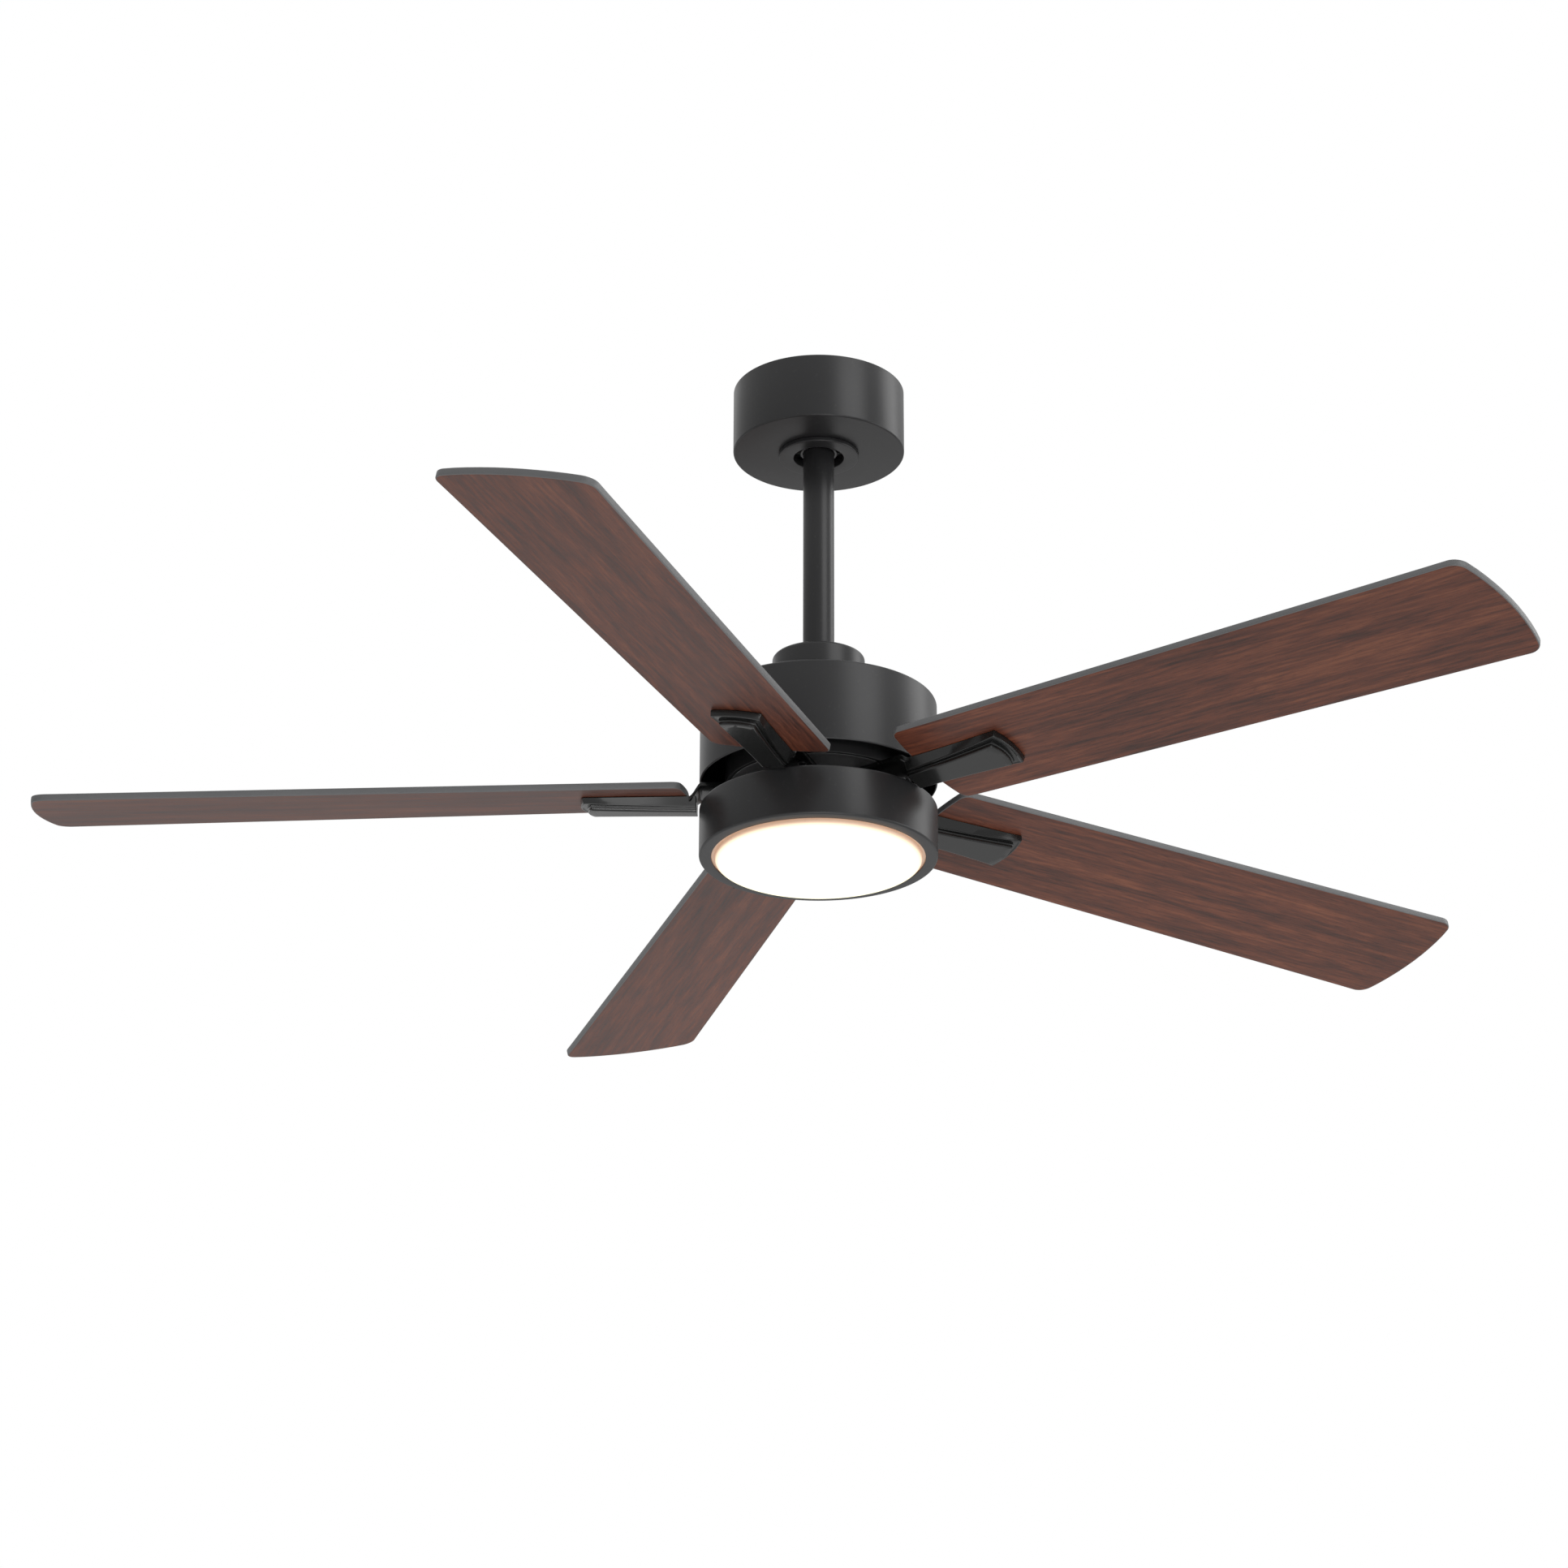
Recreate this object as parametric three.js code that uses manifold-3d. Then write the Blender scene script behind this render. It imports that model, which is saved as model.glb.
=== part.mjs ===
// Five-blade ceiling fan with a round LED light, hung on a short downrod. Millimetres, +Z up.
// The origin is the centre of the ceiling plate's top face, and the fan hangs below it.
import * as THREE from "three";
import { mergeVertices } from "three/addons/utils/BufferGeometryUtils.js";
import Module from "manifold-3d";

const wasm = await Module();
wasm.setup();

// ---- driving dimensions ----

const fitGap = 0.3; // left between pieces that touch
const roundSides = 30; // sides of the large round pieces
const midSides = 18;
const smallSides = 8;
const sheetWall = 1.5; // pressed steel of the housings and covers

// canopy and hanger
const canopyRadius = 74;
const canopyHeight = 58;
const canopyWall = 1.2;
const canopyTopGap = 0.5; // canopy rim below the ceiling
const plateThickness = 2;
const plateRimGap = 5; // ceiling plate's rim to the canopy's wall
const boxScrewPitch = 89; // slots for the ceiling box's two screws
const wireOpening = { width: 24, depth: 28, webHalf: 6 };
const legWidth = 40;
const legThickness = 2.5;
const legGap = 10; // hanger ball to the bracket's legs
const seatThickness = 3;
const seatLap = 1.2; // how far the seat reaches up the ball
const ballWall = 11.65; // ball's radius past the rod's
const ballFloorHeight = 22.5; // canopy's floor to the ball's centre
const ballCap = 17; // ball's centre to its flat top
const ballNeckWall = 2.6;
const ballNeckDepth = 23;
const hangerPinRadius = 3;
const hangerPinRise = 5; // ball's centre to the hanger pin
const hangerPinInset = 2.3;
const slotFloorWall = 5.85; // ball's bore to the floor of its registration slot
const registrationPinRadius = 2.5;
const registrationTipGap = 1.2;
const pinHeadRadius = 4.5;
const pinHeadThickness = 2.5;
const ringSwingGap = 8.35; // rod to the canopy ring's hole, which lets the fan hang true
const ringWidth = 12.8;
const ringHeight = 4;
const ringNeckHeight = 2.6;
const canopyScrewRadius = 2;
const canopyScrewHead = { radius: 3.6, height: 2 };
const receiverSize = { width: 60, depth: 22, height: 22 };
const receiverBallGap = 1.5;

// downrod and the motor's coupling
const rodRadius = 13.35; // 3/4 inch pipe
const rodWall = 2.9;
const rodLength = 254; // 10 inch rod
const rodRise = 16; // ball's centre to the rod's top
const rodHousingGap = 23.3; // rod's lower end to the motor housing
const leadRadius = 2;
const coverRadius = 39.3;
const coverTopGap = 3.7; // yoke's top to the cover's
const coverFillet = 3;
const yokeWall = 4.35;
const yokeGrip = 16; // length of the rod held in the yoke
const yokeBase = 7;
const yokeFlangeRadius = 31;
const yokeFlangeThickness = 4.5;
const clevisPinRadius = 3;
const clevisPinRise = 9; // rod's lower end to the clevis pin
const clevisPinPast = 6;
const setScrewRadius = 2.5;
const setScrewRise = 5; // rod's lower end to the set screws
const setScrewHead = { radius: 4, height: 3.2 };
const clipWireRadius = 0.8;
const clipLength = 12;

// motor
const housingRadius = 100;
const housingHeight = 71.4;
const housingFillet = 2;
const shaftRadius = 7;
const shaftBore = 4;
const shaftPastPan = 2.5;
const rotorAirGap = 20; // housing's wall to the rotor
const rotorWall = 3;
const rotorTopGap = 5;
const rotorDrop = 3; // rotor's lower face below the housing's rim
const endCapThickness = 4;
const bearingRadius = 17.5;
const bearingHeight = 10;
const bearingBossWall = 3;
const magnetThickness = 4;
const magnetAirGap = 1;
const stackEndGap = 4.2; // stator stack to the bearings
const stackHubRadius = 34;
const poleCount = 9;
const poleHalfWidth = 6;
const poleTipDepth = 4;
const poleTipHalfWidth = 17;
const windingOverhang = 3;

// light
const lightGap = 23.1; // housing's rim to the light's pan, where the blade arms turn
const panRadius = 99.9;
const panHeight = 43.4;
const panFillet = 2;
const panLip = 10.4;
const adapterRadius = 38;
const adapterThickness = 3;
const adapterBoss = { wall: 6, height: 8 };
const lightScrewCircle = 28;
const lightScrewRadius = 2;
const lightScrewHead = { radius: 3.6, height: 2.2 };
const lightScrewCount = 3;
const driverSize = { width: 70, depth: 36, height: 17 };
const boardThickness = 1.6;
const boardDrop = 24; // pan's top to the LED board
const boardRimGap = 8;
const boardPost = { radius: 4, inset: 14 };
const lensSeatGap = 2.7; // lens to the pan's lip
const lensDrop = 4;
const lensWall = 2.5;
const lensFillet = 4;
const lensFlange = 7;
const lensFlangeThickness = 2;

// blades and their arms
const bladeCount = 5;
const bladeStart = 178.2; // degrees from +X
const bladePitch = 12.2; // the edge that leads is the higher one
const bladeDroop = 0.8;
const sweepRadius = 660; // 52 inch sweep
const bladeRootGap = 9; // housing to the blade's inner edge
const bladeRootBulge = 5;
const bladeRootWidth = 106.6;
const bladeTipWidth = 129;
const bladeTipBulge = 9;
const bladeThickness = 5.6;
const bladeRootFillet = 9;
const bladeTipFillet = 13;
const bladeFloorDrop = 10.4; // housing's rim to the blades' lower face, at the axis
const armEndMargin = 22; // outer blade screws to the arm's outer end
const armHalfWidth = 22.5;
const armHubHalfWidth = 17;
const armEndBulge = 6;
const armThickness = 10; // at the outer end
const armHubThickness = 13;
const armNeckThickness = 4.5;
const armHubLap = 27; // arm's length under the rotor
const armBlockGap = 2; // housing's rim to the arm's thick block
const armBend = { before: 5, after: 6 }; // the block's hub end to the bend's two ends
const armStep = 6; // ledge around the block's raised panel
const armStepThickness = 5; // at the outer end
const armHubStepThickness = 8;
const armWallLean = 5.5; // how far the side wall leans in at the block's hub end
const armHubStep = 2.5; // ledge there
const bladeScrewRadius = 2.2;
const bladeScrewHead = { radius: 4.6, height: 2 };
const bladeScrewDepth = 5;
const bladeScrewInset = { inner: 29, outer: 69, half: 13 };

// ---- heights and radii that follow ----

const canopyTopZ = -canopyTopGap;
const canopyFloorZ = canopyTopZ - canopyHeight;
const ballZ = canopyFloorZ + ballFloorHeight;
const boreRadius = rodRadius + fitGap;
const ballRadius = rodRadius + ballWall;
const ringHoleRadius = rodRadius + ringSwingGap;
const ringRadius = ringHoleRadius + ringWidth;
const ringTopZ = canopyFloorZ - fitGap;
const ringFloorZ = ringTopZ - ringHeight;
const canopyHoleRadius = ringHoleRadius + canopyWall + fitGap + 0.8;
const canopyScrewCircle = (ringHoleRadius + ringRadius) / 2;
const legInner = ballRadius + legGap;
const legOuter = legInner + legThickness;
const seatTopZ = ballZ - Math.sqrt(ballRadius ** 2 - (ballRadius - 4) ** 2) + seatLap;
const seatFloorZ = seatTopZ - seatThickness;
const rodTopZ = ballZ + rodRise;
const rodFloorZ = rodTopZ - rodLength;
const housingTopZ = rodFloorZ - rodHousingGap;
const housingFloorZ = housingTopZ - housingHeight;
const yokeFloorZ = housingTopZ + fitGap;
const yokeTopZ = rodFloorZ + yokeGrip;
const coverTopZ = yokeTopZ + coverTopGap + sheetWall;
const yokeRadius = boreRadius + yokeWall;
const clevisPinZ = rodFloorZ + clevisPinRise;
const setScrewZ = rodFloorZ + setScrewRise;
const leadOffset = (Math.max(hangerPinRadius, clevisPinRadius) + rodRadius - rodWall) / 2;
const rotorRadius = housingRadius - sheetWall - rotorAirGap;
const rotorInner = rotorRadius - rotorWall;
const rotorTopZ = housingTopZ - sheetWall - rotorTopGap;
const rotorFloorZ = housingFloorZ - rotorDrop;
const shaftHoleRadius = shaftRadius + fitGap;
const upperBearingZ = rotorTopZ - rotorWall - fitGap;
const endCapTopZ = rotorFloorZ + endCapThickness;
const lowerBearingZ = endCapTopZ + fitGap + bearingHeight;
const stackTopZ = upperBearingZ - bearingHeight - stackEndGap;
const stackFloorZ = lowerBearingZ + stackEndGap;
const magnetInner = rotorInner - fitGap - magnetThickness;
const stackRadius = magnetInner - magnetAirGap;
const panTopZ = housingFloorZ - lightGap;
const panFloorZ = panTopZ - panHeight;
const panLipRadius = panRadius - panLip;
const shaftFloorZ = panTopZ - sheetWall - shaftPastPan;
const adapterFloorZ = panTopZ + fitGap;
const boardTopZ = panTopZ - boardDrop;
const boardRadius = panRadius - sheetWall - boardRimGap;
const lensRadius = panLipRadius - lensSeatGap;
const lensFloorZ = panFloorZ - lensDrop;
const lensFlangeZ = panFloorZ + sheetWall + fitGap;
const bladeRootRadius = Math.max(housingRadius, panRadius) + bladeRootGap;
const bladeLength = sweepRadius - bladeRootRadius;
const bladeFloorZ = housingFloorZ - bladeFloorDrop;
const armOuterRadius = bladeRootRadius + bladeScrewInset.outer + armEndMargin;
const armInnerRadius = rotorRadius - armHubLap;

// ---- shaping tools ----

const degrees = Math.PI / 180;

function welded(geometry) {
  const g = geometry.clone();
  g.deleteAttribute("normal");
  g.deleteAttribute("uv");
  return mergeVertices(g, 1e-4);
}

function toSolid(geometry) {
  const g = welded(geometry);
  const vertProperties = new Float32Array(g.attributes.position.array);
  const triVerts = new Uint32Array(g.index.array);
  return new wasm.Manifold(new wasm.Mesh({ numProp: 3, vertProperties, triVerts }));
}

function toGeometry(solid) {
  const { vertProperties, triVerts } = solid.getMesh();
  return new THREE.BufferGeometry()
    .setAttribute("position", new THREE.BufferAttribute(vertProperties, 3))
    .setIndex(new THREE.BufferAttribute(triVerts, 1));
}

function joined(...geometries) {
  return toGeometry(geometries.map(toSolid).reduce((a, b) => a.add(b)));
}

function cut(geometry, ...tools) {
  return toGeometry(tools.map(toSolid).reduce((a, b) => a.subtract(b), toSolid(geometry)));
}

// A closed outline of [radius, height] corners turned about +Z.
function turned(outline, sides = roundSides) {
  const points = outline.map(([r, z]) => new THREE.Vector2(r, z));
  if (THREE.ShapeUtils.area(points) < 0) points.reverse();
  points.push(points[0].clone());
  return welded(new THREE.LatheGeometry(points, sides).rotateX(Math.PI / 2));
}

// Corners of a quarter-round, or of any arc, in a turned outline.
function arc(r, z, radius, from, to, steps = 2) {
  return Array.from({ length: steps + 1 }, (_, i) => {
    const a = (from + ((to - from) * i) / steps) * degrees;
    return [r + radius * Math.cos(a), z + radius * Math.sin(a)];
  });
}

function ring(inner, outer, floorZ, topZ, sides = roundSides) {
  return turned([[inner, floorZ], [outer, floorZ], [outer, topZ], [inner, topZ]], sides);
}

function post(radius, floorZ, topZ, sides = smallSides) {
  const g = new THREE.CylinderGeometry(radius, radius, topZ - floorZ, sides);
  return g.rotateX(Math.PI / 2).translate(0, 0, (floorZ + topZ) / 2);
}

function block(x, y, z, cx, cy, cz) {
  return new THREE.BoxGeometry(x, y, z).translate(cx, cy, cz);
}

// A pan-headed screw that points along -Z from its head's seat at the origin.
function screw(radius, head, length) {
  const dome = post(head.radius, 0, head.height);
  return joined(dome, post(radius, -length, head.height / 2));
}

function wire(points, radius, steps, sides = 8) {
  const section = new THREE.Shape();
  section.absarc(0, 0, radius, 0, 2 * Math.PI);
  const path = new THREE.CatmullRomCurve3(points.map((p) => new THREE.Vector3(...p)));
  const g = new THREE.ExtrudeGeometry(section, { extrudePath: path, steps, curveSegments: sides / 2 });
  return welded(g);
}

// ---- materials ----

const paint = (color, roughness, metalness) =>
  new THREE.MeshStandardMaterial({ color, roughness, metalness });
const blackPaint = () => paint(0x303030, 0.45, 0.6);
const bracketSteel = () => paint(0x9a9c9e, 0.4, 0.9);
const brightSteel = () => paint(0xb4b6b8, 0.3, 1);
const blackPlastic = () => paint(0x1c1c1c, 0.6, 0);
const walnut = () => paint(0x5a3327, 0.5, 0);
const copper = () => paint(0xa8562c, 0.35, 0.9);
const castAlloy = () => paint(0x8e9092, 0.5, 0.9);
const ferrite = () => paint(0x3a3a3c, 0.7, 0.2);
const boardWhite = () => paint(0xe8e8e2, 0.5, 0);
const frosted = () => paint(0xfff6e6, 0.6, 0);

function piece(name, geometry, material) {
  const shown = geometry.index ? geometry.toNonIndexed() : geometry;
  shown.computeVertexNormals();
  const mesh = new THREE.Mesh(shown, material);
  mesh.name = name;
  return mesh;
}

// ---- ceiling side ----

function ceilingBracket() {
  const plateRadius = canopyRadius - canopyWall - plateRimGap;
  const legHeight = -plateThickness / 2 - seatFloorZ;
  const legs = [-1, 1].map((side) =>
    block(legThickness, legWidth, legHeight, (side * (legInner + legOuter)) / 2, 0,
      seatFloorZ + legHeight / 2));
  const seat = block(2 * legOuter, legWidth, seatThickness, 0, 0, (seatTopZ + seatFloorZ) / 2);
  const body = joined(post(plateRadius, -plateThickness, 0, roundSides), ...legs, seat);

  const ballSeat = new THREE.SphereGeometry(ballRadius + fitGap, 24, 16)
    .rotateX(Math.PI / 2).translate(0, 0, ballZ);
  const rodSlot = block(2 * rodRadius + 3, legWidth, 2 * seatThickness + 2, 0, -legWidth / 2,
    (seatTopZ + seatFloorZ) / 2);
  const pinHole = post(registrationPinRadius + fitGap, legInner - 1, legOuter + 1)
    .rotateY(Math.PI / 2).translate(0, 0, ballZ);
  const sides = [-1, 1].flatMap((side) => [
    block(wireOpening.width, wireOpening.depth, 3 * plateThickness,
      side * (wireOpening.webHalf + wireOpening.width / 2), 0, 0),
    block(5, 12, 3 * plateThickness, (side * boxScrewPitch) / 2, 0, 0),
    post(canopyScrewRadius + fitGap, seatFloorZ - 1, seatTopZ + 1)
      .translate(side * canopyScrewCircle, 0, 0),
  ]);
  return cut(body, ballSeat, rodSlot, pinHole, ...sides);
}

function canopy() {
  const r = canopyRadius;
  const round = 1.5;
  const shell = turned([
    [r, canopyTopZ],
    ...arc(r - round, canopyFloorZ + round, round, 0, -90),
    [canopyHoleRadius, canopyFloorZ],
    [canopyHoleRadius, canopyFloorZ + canopyWall],
    [r - canopyWall, canopyFloorZ + canopyWall],
    [r - canopyWall, canopyTopZ],
  ]);
  const holes = [-1, 1].map((side) =>
    post(canopyScrewRadius + fitGap, canopyFloorZ - 1, canopyFloorZ + canopyWall + 1)
      .translate(side * canopyScrewCircle, 0, 0));
  return cut(shell, ...holes);
}

function canopyScrew(side) {
  const length = seatTopZ - canopyFloorZ + fitGap + 1.5;
  return screw(canopyScrewRadius, canopyScrewHead, length)
    .rotateX(Math.PI).translate(side * canopyScrewCircle, 0, canopyFloorZ - fitGap);
}

// A shallow cup whose neck snaps into the canopy's hole, over the heads of the canopy's screws.
function canopyRing() {
  const round = 1;
  return turned([
    [ringHoleRadius, ringTopZ + ringNeckHeight],
    [ringHoleRadius, ringFloorZ + round / 2],
    [ringHoleRadius + round / 2, ringFloorZ],
    ...arc(ringRadius - round, ringFloorZ + round, round, -90, 0),
    [ringRadius, ringTopZ],
    [ringRadius - canopyWall, ringTopZ],
    [ringRadius - canopyWall, ringFloorZ + canopyWall],
    [ringHoleRadius + canopyWall, ringFloorZ + canopyWall],
    [ringHoleRadius + canopyWall, ringTopZ + ringNeckHeight],
  ]);
}

function receiver() {
  const { width, depth, height } = receiverSize;
  const y = ballRadius + receiverBallGap + depth / 2;
  return block(width, depth, height, 0, y, -plateThickness - fitGap - height / 2);
}

// ---- hanger: ball, pins and rod ----

function hangerBall() {
  const neckRadius = boreRadius + ballNeckWall;
  const low = -Math.acos(neckRadius / ballRadius) / degrees;
  const high = Math.asin(ballCap / ballRadius) / degrees;
  const body = turned([
    [boreRadius, -ballNeckDepth],
    [neckRadius, -ballNeckDepth],
    ...arc(0, 0, ballRadius, low, high, 8),
    [boreRadius, ballCap],
  ], midSides);
  const pinHole = post(hangerPinRadius + fitGap, -ballRadius, ballRadius)
    .rotateX(Math.PI / 2).translate(0, 0, hangerPinRise);
  const slotFloor = boreRadius + slotFloorWall;
  const slotDepth = ballRadius - slotFloor + 1;
  const slot = block(slotDepth, 2 * (registrationPinRadius + fitGap), 2 * ballCap,
    slotFloor + slotDepth / 2, 0, ballCap / 2);
  return cut(body, pinHole, slot).translate(0, 0, ballZ);
}

function hangerPin() {
  const half = Math.sqrt(ballRadius ** 2 - hangerPinRise ** 2) - hangerPinInset;
  return post(hangerPinRadius, -half, half).rotateX(Math.PI / 2)
    .translate(0, 0, ballZ + hangerPinRise);
}

// A headed stud through the bracket's leg, whose tip stands in the ball's slot.
function registrationPin() {
  const tip = boreRadius + slotFloorWall + registrationTipGap;
  const seat = legOuter + fitGap;
  return joined(post(registrationPinRadius, tip, seat + 1),
    post(pinHeadRadius, seat, seat + pinHeadThickness))
    .rotateY(Math.PI / 2).translate(0, 0, ballZ);
}

function downrod() {
  const tube = ring(rodRadius - rodWall, rodRadius, rodFloorZ, rodTopZ, midSides);
  const crossHole = (radius, z) => post(radius + fitGap, -rodRadius - 1, rodRadius + 1)
    .rotateX(Math.PI / 2).translate(0, 0, z);
  return cut(tube, crossHole(hangerPinRadius, ballZ + hangerPinRise),
    crossHole(clevisPinRadius, clevisPinZ));
}

// Runs down the rod beside its pins, through the motor's hollow shaft, and into the LED driver.
function motorLead() {
  const driverY = lightScrewCircle;
  return wire([
    [leadOffset, 0, rodTopZ + 3],
    [leadOffset, 0, (rodTopZ + rodFloorZ) / 2],
    [leadOffset, 0, clevisPinZ + 8],
    [leadOffset, 0, clevisPinZ],
    [leadOffset / 2, 0, rodFloorZ - 3],
    [0, 0, yokeFloorZ + yokeBase + 3],
    [0, 0, housingTopZ - 20],
    [0, 0, (housingTopZ + shaftFloorZ) / 2],
    [0, 0, shaftFloorZ + 3],
    [0, 5, shaftFloorZ - 6],
    [0, driverY - fitGap, shaftFloorZ - 8],
  ], leadRadius, 44, 6);
}

// ---- coupling between the rod and the motor ----

function couplingCover() {
  const floor = yokeFloorZ;
  const top = coverTopZ;
  const wall = sheetWall;
  return turned([
    [coverRadius, floor],
    ...arc(coverRadius - coverFillet, top - coverFillet, coverFillet, 0, 90),
    [boreRadius, top],
    [boreRadius, top - wall],
    ...arc(coverRadius - coverFillet, top - coverFillet, coverFillet - wall, 90, 0),
    [coverRadius - wall, floor],
  ]);
}

function motorYoke() {
  const cupFloor = yokeFloorZ + yokeBase;
  const body = turned([
    [shaftHoleRadius, yokeFloorZ],
    [yokeFlangeRadius, yokeFloorZ],
    [yokeFlangeRadius, yokeFloorZ + yokeFlangeThickness],
    [yokeRadius, yokeFloorZ + yokeFlangeThickness],
    [yokeRadius, yokeTopZ],
    [boreRadius, yokeTopZ],
    [boreRadius, cupFloor],
    [shaftHoleRadius, cupFloor],
  ], midSides);
  const reach = yokeRadius + 1;
  const clevisHole = post(clevisPinRadius + fitGap, -reach, reach)
    .rotateX(Math.PI / 2).translate(0, 0, clevisPinZ);
  const setHole = post(setScrewRadius + fitGap, -reach, reach)
    .rotateY(Math.PI / 2).translate(0, 0, setScrewZ);
  return cut(body, clevisHole, setHole);
}

function clevisPin() {
  const seat = yokeRadius + fitGap;
  const body = joined(post(clevisPinRadius, -seat - clevisPinPast, seat + 1),
    post(pinHeadRadius, seat, seat + pinHeadThickness));
  const clipHole = post(clipWireRadius + fitGap, -pinHeadRadius, pinHeadRadius, 8)
    .rotateY(Math.PI / 2).translate(0, 0, -seat - clevisPinPast / 2);
  return cut(body, clipHole).rotateX(Math.PI / 2).translate(0, 0, clevisPinZ);
}

// A hairpin of spring wire: one leg through the pin's hole, the other sprung over its outside.
function hairpinClip() {
  const y = yokeRadius + fitGap + clevisPinPast / 2;
  const over = clevisPinRadius + clipWireRadius + 2 * fitGap;
  const path = [
    [-clipLength / 2 - 1, 0], [0, 0], [clipLength - 3, 0], [clipLength, over / 2],
    [clipLength - 3, over], [3, over + 0.2], [-3, over + 0.4], [-clipLength / 2, over + 1.4],
  ];
  return wire(path.map(([x, z]) => [x, y, clevisPinZ + z]), clipWireRadius, 24, 6);
}

function yokeSetScrew(side) {
  const reach = yokeWall + fitGap;
  return screw(setScrewRadius, setScrewHead, reach).rotateY((side * Math.PI) / 2)
    .translate(side * (yokeRadius + fitGap), 0, setScrewZ);
}

// ---- motor ----

function motorHousing() {
  const r = housingRadius;
  const wall = sheetWall;
  return turned([
    [r, housingFloorZ],
    ...arc(r - housingFillet, housingTopZ - housingFillet, housingFillet, 0, 90),
    [shaftHoleRadius, housingTopZ],
    [shaftHoleRadius, housingTopZ - wall],
    [r - wall, housingTopZ - wall],
    [r - wall, housingFloorZ],
  ]);
}

function motorShaft() {
  return ring(shaftBore, shaftRadius, shaftFloorZ, yokeFloorZ + yokeBase + 1, midSides);
}

// A hub with T-shaped poles around it, or, with a growth, the room that it takes in the winding.
function poleOutline(growth) {
  const corners = [
    [stackHubRadius - growth, poleHalfWidth + growth],
    [stackRadius - poleTipDepth - growth, poleHalfWidth + growth],
    [stackRadius - poleTipDepth - growth, poleTipHalfWidth + growth],
    [stackRadius + growth, poleTipHalfWidth + growth],
  ];
  const mirrored = corners.map(([r, side]) => [r, -side]);
  const tip = [[stackRadius + growth, 0]];
  const outline = [...mirrored, ...tip, ...corners.reverse()];
  const points = Array.from({ length: poleCount }, (_, i) => {
    const middle = (i * 2 * Math.PI) / poleCount;
    return outline.map(([r, side]) => new THREE.Vector2(r, 0)
      .rotateAround(new THREE.Vector2(), middle + Math.atan2(side, r)));
  });
  return new THREE.Shape(points.flat());
}

function extruded(shape, floorZ, topZ) {
  const g = new THREE.ExtrudeGeometry(shape, { depth: topZ - floorZ, bevelEnabled: false });
  return welded(g.translate(0, 0, floorZ));
}

function statorCore() {
  const stack = extruded(poleOutline(0), stackFloorZ, stackTopZ);
  return cut(stack, post(shaftHoleRadius, stackFloorZ - 1, stackTopZ + 1, midSides));
}

function statorWinding() {
  const floor = stackFloorZ - windingOverhang;
  const coils = ring(stackHubRadius + 2, stackRadius - poleTipDepth - 1, floor,
    stackTopZ + windingOverhang);
  const poles = extruded(poleOutline(fitGap), stackFloorZ - fitGap,
    stackTopZ + fitGap);
  return cut(coils, poles);
}

function bearing(topZ) {
  return ring(shaftHoleRadius, bearingRadius, topZ - bearingHeight, topZ, midSides);
}

function rotorShell() {
  const r = rotorRadius;
  const boss = bearingRadius + fitGap;
  const plateFloor = rotorTopZ - rotorWall;
  return turned([
    [r, rotorFloorZ],
    [r, rotorTopZ - 2],
    [r - 2, rotorTopZ],
    [bearingRadius - 4, rotorTopZ],
    [bearingRadius - 4, plateFloor],
    [boss, plateFloor],
    [boss, plateFloor - bearingHeight],
    [boss + bearingBossWall, plateFloor - bearingHeight],
    [boss + bearingBossWall, plateFloor],
    [rotorInner, plateFloor],
    [rotorInner, rotorFloorZ],
  ]);
}

function rotorEndCap() {
  const top = endCapTopZ;
  const boss = bearingRadius + fitGap;
  return turned([
    [bearingRadius - 4, rotorFloorZ],
    [rotorInner - fitGap, rotorFloorZ],
    [rotorInner - fitGap, top],
    [boss + bearingBossWall, top],
    [boss + bearingBossWall, top + bearingHeight],
    [boss, top + bearingHeight],
    [boss, top],
    [bearingRadius - 4, top],
  ]);
}

function magnetRing() {
  return ring(magnetInner, rotorInner - fitGap, stackFloorZ, stackTopZ);
}

// ---- blades ----

// The edges are straight and spread outwards; both ends bulge in shallow arcs with rounded corners.
function bladeOutline() {
  const a = bladeRootWidth / 2;
  const b = bladeTipWidth / 2;
  const lean = Math.atan2(b - a, bladeLength - bladeRootBulge - bladeTipBulge);
  const quarter = Math.PI / 2;
  const edgeAt = (u) => a + Math.tan(lean) * (u - bladeRootBulge);
  const end = (half, bulge, fillet) => {
    const radius = (half * half + bulge ** 2) / (2 * bulge);
    const angle = Math.asin((half - fillet) / (radius - fillet));
    return { radius, angle, fillet, reach: radius - (radius - fillet) * Math.cos(angle) };
  };
  const root = end(a, bladeRootBulge, bladeRootFillet);
  const tip = end(b, bladeTipBulge, bladeTipFillet);
  const rootX = root.reach;
  const tipX = bladeLength - tip.reach;
  const rootY = edgeAt(rootX) - root.fillet / Math.cos(lean);
  const tipY = edgeAt(tipX) - tip.fillet / Math.cos(lean);
  const shape = new THREE.Shape();
  shape.absarc(rootX, -rootY, root.fillet, Math.PI + root.angle, 3 * quarter - lean, false);
  shape.absarc(tipX, -tipY, tip.fillet, -quarter - lean, -tip.angle, false);
  shape.absarc(bladeLength - tip.radius, 0, tip.radius, -tip.angle, tip.angle, false);
  shape.absarc(tipX, tipY, tip.fillet, tip.angle, quarter + lean, false);
  shape.absarc(rootX, rootY, root.fillet, quarter + lean, Math.PI - root.angle, false);
  shape.absarc(root.radius, 0, root.radius, Math.PI - root.angle, Math.PI + root.angle, false);
  shape.closePath();
  return shape;
}

function bladeScrewPlaces() {
  const { inner, outer, half } = bladeScrewInset;
  return [[inner, 0], [outer, -half], [outer, half]]
    .map(([u, v]) => [bladeRootRadius + u, v]);
}

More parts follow.
